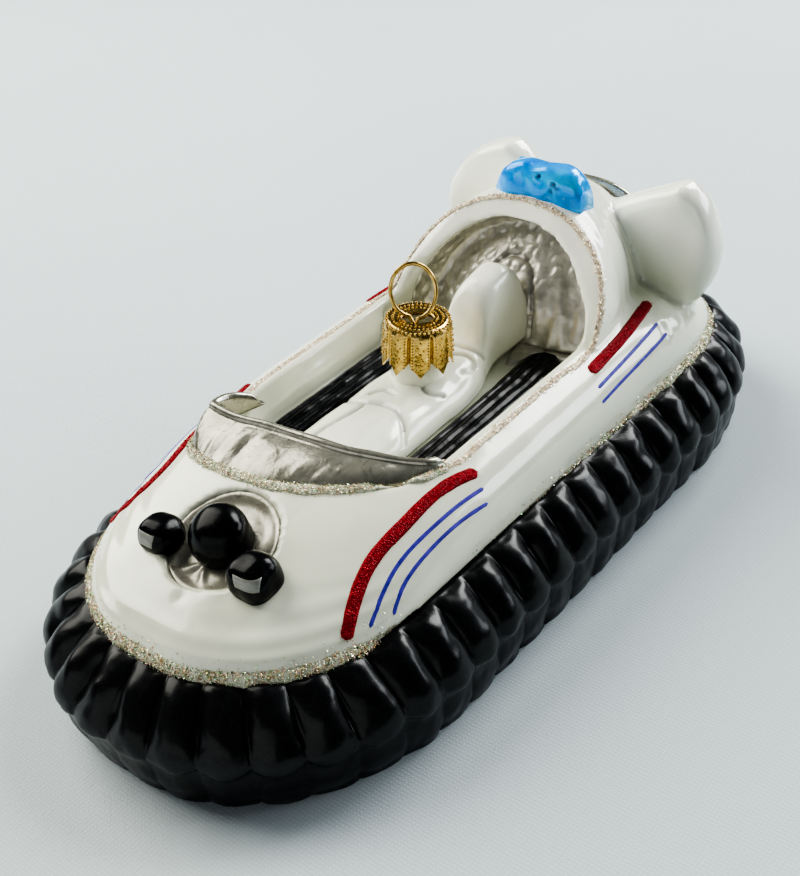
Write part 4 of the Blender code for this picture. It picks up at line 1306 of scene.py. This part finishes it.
def make_screen(paint, hull):
    rows = spline_rows(SCREEN_STATIONS, ROW_STEPS["screen"])
    runs = [0.0]
    for before, row in zip(rows, rows[1:]):
        runs.append(runs[-1] + math.hypot(row[0] - before[0], row[1] - before[1]))
    rings = [screen_ring(row, run, runs[-1] - run, hull) for row, run in zip(rows, runs)]
    ends = []
    for ring in (rings[0], rings[-1]):
        middle = sum(ring, Vector()) / len(ring)
        ends.append([[middle.lerp(p, share) for p in ring] for share in (0.85, 0.5)])
    rings = ends[0][::-1] + rings + ends[1]
    screen = roughen(loft("windscreen_silvered", rings), "screen")
    return dress(screen, paint, replaces=("windscreen",))


def smooth_step(t):
    return t * t * (3.0 - 2.0 * t)


def pebble_height(place):
    # Rounded bumps on glass, packed side by side
    near = noise.voronoi(place / PEBBLE_SIZE + Vector((2.0, 5.0, 1.0)), distance_metric="DISTANCE")[0]
    return PEBBLE_HEIGHT * smooth_step(min((near[1] - near[0]) / 0.5, 1.0)) - PEBBLE_HEIGHT / 3.0


def niche_floor():
    # Silvering that runs on over the floor from the foot of the lining, its front edge uneven
    rings = []
    columns, steps = NICHE_FLOOR_STEPS
    middle, half, reach = TONGUES
    for k in range(columns + 1):
        x = NICHE_FLOOR_HALF * (2.0 * k / columns - 1.0)
        front = NICHE_FLOOR_FRONT_Y + 0.5 * noise.noise(Vector((x / 1.6, 4.0, 0.0)))
        front -= reach * math.exp(-((abs(x) - middle) / half) ** 4)
        ring = []
        for j in range(steps + 1):
            y = front + (NICHE_FLOOR_REAR_Y - front) * j / steps
            ripple = 0.16 * noise.noise(Vector((x / 1.1, y / 2.2, 8.0)))
            ring.append(at(x, y, NICHE_FLOOR_Z + (ripple if 0 < j else -0.3)))
        ring += [at(x, NICHE_FLOOR_REAR_Y, NICHE_FLOOR_UNDER_Z), at(x, front, NICHE_FLOOR_UNDER_Z)]
        rings.append(ring)
    return loft("niche_floor", rings)


def lining_rows(hull):
    # Rows of points down the lining: off the hood's inner edge, round the corner and down a back that leans
    rows = []
    for k in range(9):
        lift = 0.15 + 0.3 * min(k / 2.0, 1.0)
        row = []
        for p, q in zip(hoop(LINING_FRONT, *LINING_FRONT_SHAPE), hoop(LINING_CORNER, *NICHE_SHAPE)):
            place, normal, face, distance = hull.find_nearest(p.lerp(q, k / 8))
            row.append(place + normal * lift * MM)
        rows.append(row)
    last = rows[-1]
    for k in range(1, LINING_BACK_ROWS + 1):
        t = k / LINING_BACK_ROWS
        near = smooth_step(min(t / LINING_TURN, 1.0))
        row = []
        for p in last:
            z = p.z / MM + (LINING_FOOT_Z - p.z / MM) * t
            wall = at(p.x / MM * (1.0 - 0.9 * t), LINING_FOOT_Y + LINING_LEAN * (z - LINING_FOOT_Z), z)
            row.append(wall + Vector((0.0, (p.y - wall.y) * (1.0 - near), 0.0)))
        rows.append(row)
    for turn in range(LINING_ROUNDS):
        inner = [ease(*three) for three in zip(rows, rows[1:], rows[2:])]
        rows = rows[:3] + inner[2:] + [rows[-1]]
    return rows


def lining_relief(place):
    # Move and shade at a point of the lining: pebbles, folds down its port side, and a groove round the dome
    half, tall, power = GROOVE_SHAPE
    rim = math.hypot(abs(place.x / half) ** power, max((place.z - GROOVE_FOOT_Z) / tall, 0.0) ** power)
    groove = 0.0
    if place.y > GROOVE_FRONT_Y and place.z > GROOVE_LOWEST_Z:
        groove = math.exp(-((rim ** (1.0 / power) - GROOVE_RIM) / 0.04) ** 2)
    drape = 0.0
    if place.x > DRAPE_INNER_X and place.z < DRAPE_TOP_Z:
        drape = min((place.x - DRAPE_INNER_X) / 3.0, 1.0) * min((DRAPE_TOP_Z - place.z) / 4.0, 1.0)
    fold = DRAPE_HEIGHT * noise.noise(Vector((place.x / 1.5, place.y / 2.2, place.z / 9.0)))
    bump = pebble_height(place)
    move = bump * (1.0 - 0.9 * drape) + fold * drape - GROOVE_DEPTH * groove
    # Painted shade in the groove and in the hollows between the pebbles
    shade = 0.6 * groove + max(0.0, 0.35 - 3.5 * (bump + 0.1)) * (1.0 - drape)
    return move, min(1.0, shade)


def make_arch_panel(paint, hull):
    # Pebbled silver lining of the niche, from its front edge to its back and on over the floor
    shape = bmesh.new()
    grid = [[shape.verts.new(p) for p in row] for row in lining_rows(hull)]
    for row, below in zip(grid, grid[1:]):
        for k in range(len(row) - 1):
            shape.faces.new((row[k], row[k + 1], below[k + 1], below[k]))
    bmesh.ops.subdivide_edges(shape, edges=shape.edges, cuts=1, use_grid_fill=True)
    bmesh.ops.recalc_face_normals(shape, faces=shape.faces)
    shape.normal_update()
    if shape.faces[0].normal.dot(at(*NICHE_MIDDLE) - shape.faces[0].verts[0].co) < 0.0:
        bmesh.ops.reverse_faces(shape, faces=shape.faces)
        shape.normal_update()
    reliefs = [lining_relief(vertex.co / MM + Vector((0.0, MIDDLE_Y, 0.0))) for vertex in shape.verts]
    for vertex, (move, shade) in zip(shape.verts, reliefs):
        vertex.co += vertex.normal * move * MM
    panel = from_bmesh("niche_lining", shape, closed=False)
    mark_painted_shade_and_spots(panel, [shade for move, shade in reliefs])
    thick = panel.modifiers.new("thick", "SOLIDIFY")
    thick.thickness = LINING_THICK * MM
    thick.offset = -1.0
    settle(panel)
    panel = join("arch_panel_pebbled", [panel, niche_floor()])
    panel.data.shade_smooth()
    return dress(panel, paint, replaces=("arch_panel",))


def make_outlet_plate(paint):
    # Silvered plate with a rolled rim
    outline = hoop((OUTLET_HALF, OUTLET_FOOT_Z, OUTLET_CROWN, 0.0, 0.0), OUTLET_POWER, 1.0)
    middle = at(0.0, 0.0, (OUTLET_FOOT_Z + OUTLET_CROWN) / 2.0)
    rings = []
    for scale, y in OUTLET_SECTION:
        spread = [middle + (p - middle) * scale for p in outline]
        rings.append([Vector((p.x, at(0.0, y, 0.0).y, p.z)) for p in spread])
    plate = loft("outlet_plate_silvered", rings)
    return dress(plate, paint, replaces=("outlet_plate",))


def bar_shade(x, y, z):
    # How dark the lamp's front is at a point: its few thin spots in the lacquer
    if y >= BAR_Y:
        return 0.0
    return max(math.exp(-(((x - spot_x) / size) ** 2 + ((z - spot_z) / size) ** 2) ** 2)
               for spot_x, spot_z, size in BAR_SPOTS)


def make_bar(paint):
    # Two-humped lamp whose foot is sunk in the hood
    rings = []
    for x, height, depth in spline_rows(BAR_ROWS, ROW_STEPS["bar"]):
        ring = [at(x, BAR_Y + depth * y, BAR_FOOT_Z + height * z) for y, z in arch(BAR_STEPS, BAR_POWER)]
        for side in (-1.0, 1.0):
            ring.append(at(x, BAR_Y + side * depth, BAR_FOOT_Z - BAR_ROOT))
        rings.append(ring)
    bar = roughen(loft("light_bar_blue", rings), "bar")
    shades = []
    for vertex in bar.data.vertices:
        x, y, z = vertex.co / MM
        shades.append(bar_shade(x, y + MIDDLE_Y, z))
        vertex.co.y += BAR_SPOT_DEPTH * MM * shades[-1]
    mark_painted_shade_and_spots(bar, shades)
    return dress(bar, paint, replaces=("light_bar",))


def dish_wobble(radius, height, angle):
    # The dish is uneven, and two ridges run out over it from under the lamp
    if radius < 1.0:
        return radius, height
    height += 0.07 * math.sin(2.0 * angle + 0.6 * radius) + 0.04 * math.sin(5.0 * angle - radius)
    inside = max(0.0, 1.0 - abs(radius - DISH_RIDGE_RADIUS) / DISH_RIDGE_REACH)
    for ridge, bend in DISH_RIDGES:
        off = math.radians(ridge) + bend * (radius - DISH_RIDGE_RADIUS)
        apart = math.remainder(angle - off, 2.0 * math.pi)
        height += DISH_RIDGE_HEIGHT * inside * math.exp(-(apart / 0.10) ** 2)
    return radius, height


def make_nose_dish(paint):
    profile = [(0.0, -0.55)]
    profile += [(0.4 * k, -0.55 + 0.04 * math.sin(0.4 * k * 1.9)) for k in range(2, 15)]
    profile += DISH_RIM
    dish = turned("nose_dish_silvered", profile, DISH_STEPS, dish_wobble)
    put(dish, DISH_PLACE, DISH_TILT)
    return dress(dish, paint, replaces=("nose_dish",))


def make_nose_lamp(paint):
    # Egg that leans to port and back, on a short straight foot
    profile = [(0.0, LAMP_HEIGHT)]
    for k in range(1, 25):
        a = math.radians(90.0 * (24 - k) / 24)
        height = LAMP_WAIST_Z + (LAMP_HEIGHT - LAMP_WAIST_Z) * math.sin(a) ** 0.9
        profile.append((LAMP_RADIUS * max(math.cos(a), 0.0) ** 0.8, height))
    lamp = turned("nose_lamp_black", profile + LAMP_FOOT)
    for vertex in lamp.data.vertices:
        lean = max(vertex.co.z - LAMP_LEAN_Z * MM, 0.0)
        vertex.co.x *= LAMP_SWELL[0] if vertex.co.x > 0.0 else LAMP_SWELL[1]
        vertex.co.x += LAMP_LEAN[0] * lean
        vertex.co.y += LAMP_LEAN[1] * lean
    roughen(lamp, "lamp")
    put(lamp, DISH_PLACE, DISH_TILT)
    return dress(lamp, paint, replaces=("nose_lamp",))


def make_headlight(word, paint, pane_paint):
    # Soft rounded block with a waist, and its pane
    x, y, z, size = HEADLIGHTS[word]
    height, spread, across, along = HEADLIGHT_WAIST
    shape = bmesh.new()
    bmesh.ops.create_cube(shape, size=MM)
    bmesh.ops.subdivide_edges(shape, edges=shape.edges, cuts=HEADLIGHT_CUTS, use_grid_fill=True)
    for vertex in shape.verts:
        p = vertex.co / (MM / 2.0)
        p /= sum(abs(c) ** HEADLIGHT_POWER for c in p) ** (1.0 / HEADLIGHT_POWER)
        waist = math.exp(-((p.z - height) / spread) ** 2)
        p.x *= 1.0 - across * waist
        p.y *= 1.0 - along * waist
        vertex.co = Vector([c * s / 2.0 * HEADLIGHT_SWELL * MM for c, s in zip(p, size)])
    light = put(roughen(from_bmesh("headlight_" + word + "_black", shape), "headlight_" + word), (x, y, z))
    surface = surface_of(light)
    dress(light, paint, replaces=("headlight_" + word,))
    make_pane(word, (x, y, z), surface, pane_paint)


def make_pane(word, place, surface, paint):
    # Small silvered pane painted on a headlight's front, as a thin closed skin
    turn, half, rise, tall = PANES[word]
    angle = math.radians(turn)
    ahead = Vector((math.sin(angle), -math.cos(angle), 0.0))
    side = Vector((math.cos(angle), math.sin(angle), 0.0))
    x, y, z = place
    shape = bmesh.new()
    front = []
    back = []
    for j in range(PANE_ROWS + 1):
        v = 2.0 * j / PANE_ROWS - 1.0
        for k in range(PANE_COLUMNS + 1):
            u = 2.0 * k / PANE_COLUMNS - 1.0
            start = at(x, y, z + rise + v * tall) + side * (half + 0.12 * v) * u * MM + ahead * 10.0 * MM
            hit = surface.ray_cast(start, -ahead)[0]
            front.append(shape.verts.new(hit + ahead * 0.05 * MM))
            back.append(shape.verts.new(hit - ahead * 0.15 * MM))
    wide = PANE_COLUMNS + 1
    last = wide * PANE_ROWS
    for first in range(0, last, wide):
        for a in range(first, first + PANE_COLUMNS):
            shape.faces.new((front[a], front[a + 1], front[a + wide + 1], front[a + wide]))
            shape.faces.new((back[a + wide], back[a + wide + 1], back[a + 1], back[a]))
    edge = list(range(wide)) + list(range(wide + PANE_COLUMNS, last + wide, wide))
    edge += list(range(last + PANE_COLUMNS - 1, last - 1, -1)) + list(range(last - wide, 0, -wide))
    for a, b in zip(edge, edge[1:] + edge[:1]):
        shape.faces.new((front[b], front[a], back[a], back[b]))
    pane = from_bmesh("pane_" + word + "_silver", shape)
    return dress(pane, paint, replaces=("pane_" + word,))


def make_neck(paint):
    neck = on_cap_axis(turned("neck_glass", NECK_PROFILE))
    return dress(neck, paint, replaces=("neck",))


def leaf_shape(angle):
    # How far along a leaf an angle lies, from 0 at the notch to 1 at the leaf's middle
    share = ((angle - math.radians(CAP_FIRST_NOTCH)) / (2.0 * math.pi / CAP_LEAVES)) % 1.0
    return 1.0 - abs(2.0 * share - 1.0)


def cap_radius(height):
    for (h0, r0), (h1, r1) in zip(CAP_RADII, CAP_RADII[1:]):
        if height >= h1:
            return r0 + (r1 - r0) * (h0 - height) / (h0 - h1)
    return CAP_RADII[-1][1]


def around(radius, angle, height):
    return Vector((radius * math.cos(angle), radius * math.sin(angle), height))


def cap_ring(kind, share):
    # Ring of the crown, on its top, its wall, the wall's inner side or the top's underside
    ring = []
    for k in range(CAP_COLUMNS):
        a = 2.0 * math.pi * k / CAP_COLUMNS
        leaf = leaf_shape(a)
        turn = a - math.radians(RING_TURN)
        slot = 1.0 / math.hypot(math.cos(turn) / CAP_SLOT[0], math.sin(turn) / CAP_SLOT[1])
        foot = CAP_LEAF_Z + CAP_NOTCH_HEIGHT * (1.0 - leaf) ** 0.8
        groove = CAP_GROOVE * max(0.0, 1.0 - leaf / 0.2)
        if kind == "top":
            radius = slot + (CAP_TOP_EDGE - slot) * share
            height = -0.12 * (1.0 - share)
        elif kind == "wall":
            height = -0.25 + (foot + 0.25) * share
            radius = cap_radius(height) - groove * min(1.0, share * 5.0) - 0.25 * max(0.0, 1.0 - share / 0.1)
        elif kind == "inside":
            height = -0.6 + (foot + 0.6) * share
            radius = cap_radius(height) - groove - CAP_WALL
        else:
            radius = slot + (CAP_UNDERSIDE_EDGE - slot) * share
            height = -0.55
        ring.append(around(radius, a, height) * MM)
    return ring


def cap_shell():
    # Thin metal crown: top with its slot, grooved wall and pointed leaves, then back up inside
    rings = [cap_ring("top", share) for share in (0.0, 0.15, 0.35, 0.6, 0.8, 0.92)]
    rings += [cap_ring("wall", k / CAP_WALL_ROWS) for k in range(CAP_WALL_ROWS + 1)]
    rings += [cap_ring("inside", 1.0 - k / CAP_INSIDE_ROWS) for k in range(CAP_INSIDE_ROWS + 1)]
    rings += [cap_ring("underside", share) for share in (0.6, 0.3, 0.0)]
    shell = loft("cap_shell", rings, closed_rows=True)
    # Painted shade all over the inside and in the grooves between the leaves
    shades = []
    for vertex in shell.data.vertices:
        x, y, z = vertex.co / MM
        leaf = leaf_shape(math.atan2(y, x))
        inner = math.hypot(x, y) < cap_radius(z) - 0.62
        shades.append(1.0 if inner and z < -0.3 else max(0.0, 1.0 - leaf / 0.16) * min(1.0, max(-z, 0.0)))
    mark_painted_shade_and_spots(shell, shades)
    return shell


def cap_beads():
    # Rings of beads on the cap's top, and on each leaf two rows and a few scattered ones
    spots = []
    for ring_radius, height, count, size in CAP_BEAD_RINGS:
        for k in range(count):
            spots.append((around(ring_radius, 2.0 * math.pi * k / count, height), size))
    pitch = 2.0 * math.pi / CAP_LEAVES
    for leaf in range(CAP_LEAVES):
        middle = math.radians(CAP_FIRST_NOTCH) + pitch * (leaf + 0.5)
        rows = [(edge, -1.0 - k * 0.46, 0.15) for edge in (-0.33, 0.33) for k in range(11)]
        for sway, height, size in rows + CAP_LEAF_BEADS:
            spots.append((around(cap_radius(height) + 0.02, middle + sway * pitch, height), size))
    shape = bmesh.new()
    for place, radius in spots:
        stand = Matrix.Translation(place * MM)
        bmesh.ops.create_icosphere(shape, subdivisions=2, radius=radius * MM, matrix=stand)
    return from_bmesh("beads", shape)


def make_cap(paint):
    cap = on_cap_axis(join("cap_gilt", [cap_shell(), cap_beads()]))
    cap.data.shade_smooth()
    return dress(cap, paint, body="cap", replaces=("cap",))


def wire_path():
    # One wire: a leg, the ring from its foot round to its foot, and the other leg, crossing the first
    lean = math.radians(RING_LEAN)
    path = [(LEG_END_ACROSS, STRAND_OFFSET, LEG_END_Z)]
    for k in range(RING_STEPS + 1):
        a = math.radians(-90.0 - RING_OPENING - (360.0 - 2.0 * RING_OPENING) * k / RING_STEPS)
        along = RING_MIDDLE + RING_HALF[1] * math.sin(a)
        strand = STRAND_OFFSET * (1.0 - 2.0 * k / RING_STEPS)
        across = RING_SHIFT[0] + RING_HALF[0] * math.cos(a)
        path.append((across, RING_SHIFT[1] + strand + along * math.sin(lean), along * math.cos(lean)))
    path.append((-LEG_END_ACROSS, -STRAND_OFFSET, LEG_END_Z))
    return path


def make_hanger(paint):
    path = wire_path()
    wire = bpy.data.curves.new("hanger_wire", "CURVE")
    wire.dimensions = "3D"
    wire.bevel_depth = WIRE_RADIUS * MM
    wire.bevel_resolution = 6
    wire.use_fill_caps = True
    line = wire.splines.new("POLY")
    line.points.add(len(path) - 1)
    for point, (across, back, z) in zip(line.points, path):
        point.co = (across * MM, back * MM, z * MM, 1.0)
    guide = new_piece("guide", wire)
    depsgraph = bpy.context.evaluated_depsgraph_get()
    mesh = bpy.data.meshes.new_from_object(guide.evaluated_get(depsgraph))
    bpy.data.objects.remove(guide, do_unlink=True)
    hanger = on_cap_axis(new_piece("hanger_wire_gilt", mesh), RING_TURN)
    mesh.shade_smooth()
    return dress(hanger, paint, body="hanger", replaces=("hanger",))


def flakes(name, spots, size, paint, chance):
    # Tiny irregular chips, each a flat four-faced shard, at spots of place and outward direction
    vertices = []
    faces = []
    for place, outward in spots:
        lean = Vector((chance.gauss(0.0, 0.5), chance.gauss(0.0, 0.5), chance.gauss(0.0, 0.5)))
        up = (outward + lean).normalized()
        side = up.orthogonal().normalized()
        side.rotate(Matrix.Rotation(chance.uniform(0.0, 2.0 * math.pi), 3, up))
        other = up.cross(side)
        reach = size * chance.uniform(0.6, 1.25) * MM / 2.0
        first = len(vertices)
        for k in range(3):
            a = 2.0 * math.pi * k / 3.0 + chance.uniform(-0.45, 0.45)
            vertices.append(place + (side * math.cos(a) + other * math.sin(a)) * reach)
        vertices.append(place + up * reach * 0.55)
        for corners in ((0, 2, 1), (0, 1, 3), (1, 2, 3), (2, 0, 3)):
            faces.append([first + corner for corner in corners])
    mesh = bpy.data.meshes.new(name)
    mesh.from_pydata(vertices, [], faces)
    return dress(new_piece(name, mesh), paint)


def band(name, line, normals, half, height, paint, seed):
    # Low bumpy bead of glue along a closed or open line on the glass
    rings = []
    for k, (point, outward) in enumerate(zip(line, normals)):
        side = run_at(line, k).cross(outward).normalized()
        swell = 1.0 + 0.3 * noise.noise(point / (1.9 * MM) + Vector((seed, 0.0, 0.0)))
        end = min(1.0, 0.25 + 0.25 * k, 0.25 + 0.25 * (len(line) - 1 - k))
        ring = []
        for j in range(GLUE_SIDES):
            a = 2.0 * math.pi * j / GLUE_SIDES
            lump = 1.0 + 0.12 * noise.noise(point / (0.6 * MM) + Vector((j * 1.3, seed, 0.0)))
            reach = side * math.cos(a) * half + outward * math.sin(a) * height
            ring.append(point + reach * MM * swell * lump * end)
        rings.append(ring)
    return dress(loft(name, rings), paint)


def relax(line):
    # Line with its small bends eased out, its ends kept
    for turn in range(RELAX_ROUNDS):
        line = [line[0]] + ease(line, line[1:], line[2:]) + [line[-1]]
    return line


def scatter(line, normals, half, height, per_mm, chance):
    # Spots over the upper side of a band
    spots = []
    count = int(line_length(line) / MM * per_mm)
    for k in range(count):
        where = chance.uniform(0.0, len(line) - 1.001)
        first = int(where)
        point = line[first].lerp(line[first + 1], where - first)
        outward = normals[first].lerp(normals[first + 1], where - first).normalized()
        side = (line[first + 1] - line[first]).cross(outward).normalized()
        a = chance.gauss(math.pi / 2.0, 0.62)
        reach = chance.uniform(0.85, 1.12)
        push = side * math.cos(a) * half * 1.08 + outward * math.sin(a) * height
        spots.append((point + push * MM * reach, (side * math.cos(a) + outward * math.sin(a)).normalized()))
    return spots


def seam_line():
    # Closed line along the seam between hull and skirt
    bow = plan_end(SEAM_PLAN, "bow", FIRST_VALLEY_Y, 120)
    stern = plan_end(SEAM_PLAN, "stern", LAST_VALLEY_Y, 140)
    loop = bow + [p * MIRRORED for p in stern] + [bow[0]]
    line = [at(p.x, p.y, SEAM_Z - 0.1) for p in even_steps(loop, SEAM_STEPS)]
    normals = []
    for k, point in enumerate(line):
        run = line[(k + 1) % SEAM_STEPS] - line[(k - 1) % SEAM_STEPS]
        outward = run.cross(UP).normalized()
        if outward.dot(point - at(0.0, MIDDLE_Y, 15.0)) < 0.0:
            outward.negate()
        normals.append((outward * 0.8 + UP * 0.6).normalized())
    return line, normals


def arch_lip():
    # Line from the port end of the windscreen along the lip, over the arch and back on the other side
    port = [at(LIP_X - 0.9, LIP_FRONT_Y + 0.6, LIP_Z)]
    port += [at(LIP_X, LIP_FRONT_Y + 3.0 + k * 2.0, LIP_Z) for k in range(13)]
    starboard = [Vector((-p.x, p.y, p.z)) for p in reversed(port)]
    return even_steps(port + hoop(LIP_ARCH, *HOOD_SHAPE) + starboard, LIP_STEPS)


def screen_foot(surface):
    # Line along the windscreen's foot, dropped on the hull
    foot = [at(fx, fy, 0.0) for fx, fy, rx, ry, rz in spline_rows(SCREEN_STATIONS, ROW_STEPS["screen_foot"])]
    foot = [surface.ray_cast(Vector((p.x, p.y, OVER_NOSE_Z * MM)), -UP)[0] or p for p in foot]
    return even_steps(foot, SCREEN_FOOT_STEPS)


def snap(line, surface):
    # Points moved to the nearest place on a surface, with its normals there
    nearest = [surface.find_nearest(point) for point in line]
    return [hit[0] for hit in nearest], [hit[1] for hit in nearest]


def ribbon(name, path, width, height, surface, paint, mirror, seed):
    # Painted stroke that hugs the glass: rounded ends, domed top, slightly wavy edges
    line = [at(p.x * mirror, p.y, p.z) for p in curve_points(path, STROKE_STEPS)]
    count = max(12, int(line_length(line) / MM / STROKE_PITCH))
    line, normals = snap(relax(even_steps(line, count)), surface)
    rings = []
    total = line_length(line) / MM
    for k, (point, outward) in enumerate(zip(line, normals)):
        side = run_at(line, k).cross(outward).normalized()
        gone = total * k / count
        near = min(gone, total - gone) / (width * 0.45)
        tip = math.sqrt(max(1.0 - (1.0 - min(near, 1.0)) ** 2, 0.02))
        wave = 1.0 + 0.10 * noise.noise(point / (2.2 * MM) + Vector((seed, 0.0, 0.0)))
        reach = side * width / 2.0 * wave * tip * MM
        ring = []
        for j in range(9):
            across = -1.0 + j / 4.0
            place, normal, face, distance = surface.find_nearest(point + reach * across)
            dome = 0.15 + 0.85 * math.sqrt(max(1.0 - across ** 2, 0.0))
            ring.append(place + normal * height * MM * dome)
        under = point - outward * 0.05 * MM
        ring += [under + reach * (-1.0 + j / 4.0) * 0.96 for j in range(8, -1, -1)]
        rings.append(ring)
    return dress(loft(name, rings), paint), line, normals


def make_stripes(surface, red, red_flakes, ink):
    chance = random.Random(SEEDS["stripes"])
    for word, mirror in SIDES:
        spots = []
        for k, path in enumerate(RED_STRIPES):
            name = "stripe_red_%s_%d" % (word, k)
            piece, line, normals = ribbon(name, path, RED_WIDTH, RED_HEIGHT, surface, red, mirror, k)
            spots += scatter(line, normals, RED_WIDTH / 2.0 * 0.86, RED_HEIGHT, RED_FLAKES_PER_MM, chance)
        flakes("stripe_glitter_" + word, spots, RED_FLAKE, red_flakes, chance)
        for k, path in enumerate(BLUE_LINES):
            name = "line_blue_%s_%d" % (word, k)
            ribbon(name, path, BLUE_WIDTH, BLUE_HEIGHT, surface, ink, mirror, 5.0 + k)


def glitter_band(word, line, normals, paints, chance):
    # Bead of glue and the chips that stand on it
    half, height, seed, spread, rise, per_mm, size = GLITTER_BANDS[word]
    glue, chips = paints
    band("glitter_" + word + "_glue", line, normals, half, height, glue, seed)
    flakes("glitter_" + word, scatter(line, normals, spread, rise, per_mm, chance), size, chips, chance)


def make_glitter(surface, bright, pale):
    chance = random.Random(SEEDS["glitter"])
    line, normals = seam_line()
    glitter_band("seam", line, normals, bright, chance)
    strays = [p for p, n in scatter(line, normals, *STRAYS, chance) if p.z > SEAM_Z * MM]
    flakes("glitter_strays", zip(*snap(strays, surface)), STRAY_FLAKE, bright[1], chance)
    glitter_band("lip", *snap(arch_lip(), surface), pale, chance)
    glitter_band("screen", *snap(screen_foot(surface), surface), bright, chance)


def make_floor(paint):
    shape = bmesh.new()
    bmesh.ops.create_grid(shape, x_segments=8, y_segments=8, size=3.0)
    floor = from_bmesh("table_top", shape)
    floor.data.materials.append(paint)


def make_camera():
    azimuth, elevation, roll = (math.radians(angle) for angle in CAMERA_TURN)
    flat = math.cos(elevation)
    back = Vector((math.sin(azimuth) * flat, -math.cos(azimuth) * flat, math.sin(elevation)))
    right = Vector((math.cos(azimuth), math.sin(azimuth), 0.0))
    up = back.cross(right)
    across = right * math.cos(roll) + up * math.sin(roll)
    upright = up * math.cos(roll) - right * math.sin(roll)
    data = bpy.data.cameras.new("camera")
    data.sensor_fit = "HORIZONTAL"
    data.sensor_width = SENSOR
    data.lens = LENS
    data.clip_start = 0.001
    data.clip_end = 20.0
    camera = bpy.data.objects.new("camera", data)
    turn = Matrix((across, upright, back)).transposed().to_4x4()
    camera.matrix_world = Matrix.Translation(at(*LOOK_AT) + back * CAMERA_DISTANCE * MM) @ turn
    bpy.context.scene.collection.objects.link(camera)
    bpy.context.scene.camera = camera


def area_light(name, place, size, power, colour, mirrored):
    data = bpy.data.lights.new(name, "AREA")
    data.shape = "RECTANGLE"
    data.size, data.size_y = size
    data.energy = power
    data.color = colour
    light = bpy.data.objects.new(name, data)
    light.location = place
    light.rotation_mode = "QUATERNION"
    light.rotation_quaternion = (Vector(place) - Vector(LIGHTS_AIM)).to_track_quat("Z", "Y")
    light.visible_glossy = mirrored
    bpy.context.scene.collection.objects.link(light)


def make_studio():
    # Soft lights, and a dim sky that grows brighter upwards
    for light in LIGHTS:
        area_light(*light)
    world = bpy.data.worlds.new("studio")
    bpy.context.scene.world = world
    world.use_nodes = True
    place = add_node(world, "TexCoord").outputs["Generated"]
    split = add_node(world, "SeparateXYZ", (("Vector", place),))
    background = world.node_tree.nodes["Background"]
    background.inputs["Strength"].default_value = SKY_STRENGTH
    link(world, add_ramp(world, split.outputs["Z"], SKY), background, "Color")
    bpy.context.scene.view_settings.look = "AgX - High Contrast"


make_camera()
make_studio()
make_floor(floor_material())

# The seat's channels as close points in plan
SEAT_LINES = [curve_points([(x, y, 0.0) for x, y in line], CHANNEL_STEPS) for line in SEAT_CHANNELS]

pearl = pearl_material("pearl_enamel", (0.77, 0.785, 0.64), (0.70, 0.715, 0.58), (0.97, 0.975, 0.86))
# Brighter copy of the pearl enamel for the seat and neck, a painted light
seat_pearl_lit = pearl_material("seat_enamel_lit", (0.93, 0.94, 0.80), (0.87, 0.88, 0.74), (0.93, 0.94, 0.80))
black = enamel_material("black_enamel", roughness=0.26, coat=0.18, ior=1.34)
well_black = enamel_material("floor_enamel", roughness=0.12, coat=0.0, ior=1.27)
lamp_black = enamel_material("lamp_enamel", roughness=0.14, coat=0.0, ior=1.29)
silver = silver_material("silvered_glass", stretch=(1.0, 1.0, 0.28), wave=0.065, colour=(0.42, 0.41, 0.34),
                         dark=(0.27, 0.26, 0.21), rough=0.18, metallic=0.7)
dish_silver = silver_material("silvered_dish", stretch=(1.0, 1.0, 1.0), wave=0.05,
                              colour=(0.48, 0.465, 0.385), dark=(0.29, 0.28, 0.225), rough=0.24,
                              metallic=0.55)
glitter = flake_material("glitter_flakes", GLITTER_COLOURS)
pale_glitter = flake_material("pale_glitter", PALE_GLITTER_COLOURS)
red_glitter = flake_material("red_flakes", RED_GLITTER_COLOURS, metallic=0.3, roughness=0.35, ior=1.25)
glue = glue_material("glitter_glue", (0.77, 0.78, 0.63), (0.47, 0.475, 0.34))
pale_glue = glue_material("pale_glue", (0.84, 0.74, 0.58), (0.66, 0.52, 0.36))
red_paint = glue_material("red_glitter_paint", (0.33, 0.004, 0.012), (0.16, 0.002, 0.006), coat=0.0, ior=1.3)
pane_silver = pane_material()

make_skirt(black)
glass = make_glass()
hull_surface = surface_of(glass)
part_fins(glass, pearl)
make_seat(seat_pearl_lit)
for word, side in SIDES:
    make_well(word, side, well_black)
make_screen(silver, hull_surface)
make_arch_panel(pebbled_material(), hull_surface)
make_outlet_plate(silver)
make_bar(blue_material())
make_nose_dish(dish_silver)
make_nose_lamp(lamp_black)
for word in HEADLIGHTS:
    make_headlight(word, lamp_black, pane_silver)
make_neck(seat_pearl_lit)
make_cap(gold_material("gilt_metal", 0.05))
make_hanger(gold_material("gilt_wire", 0.01))
make_glitter(hull_surface, (glue, glitter), (pale_glue, pale_glitter))
make_stripes(hull_surface, red_paint, red_glitter, ink_material())
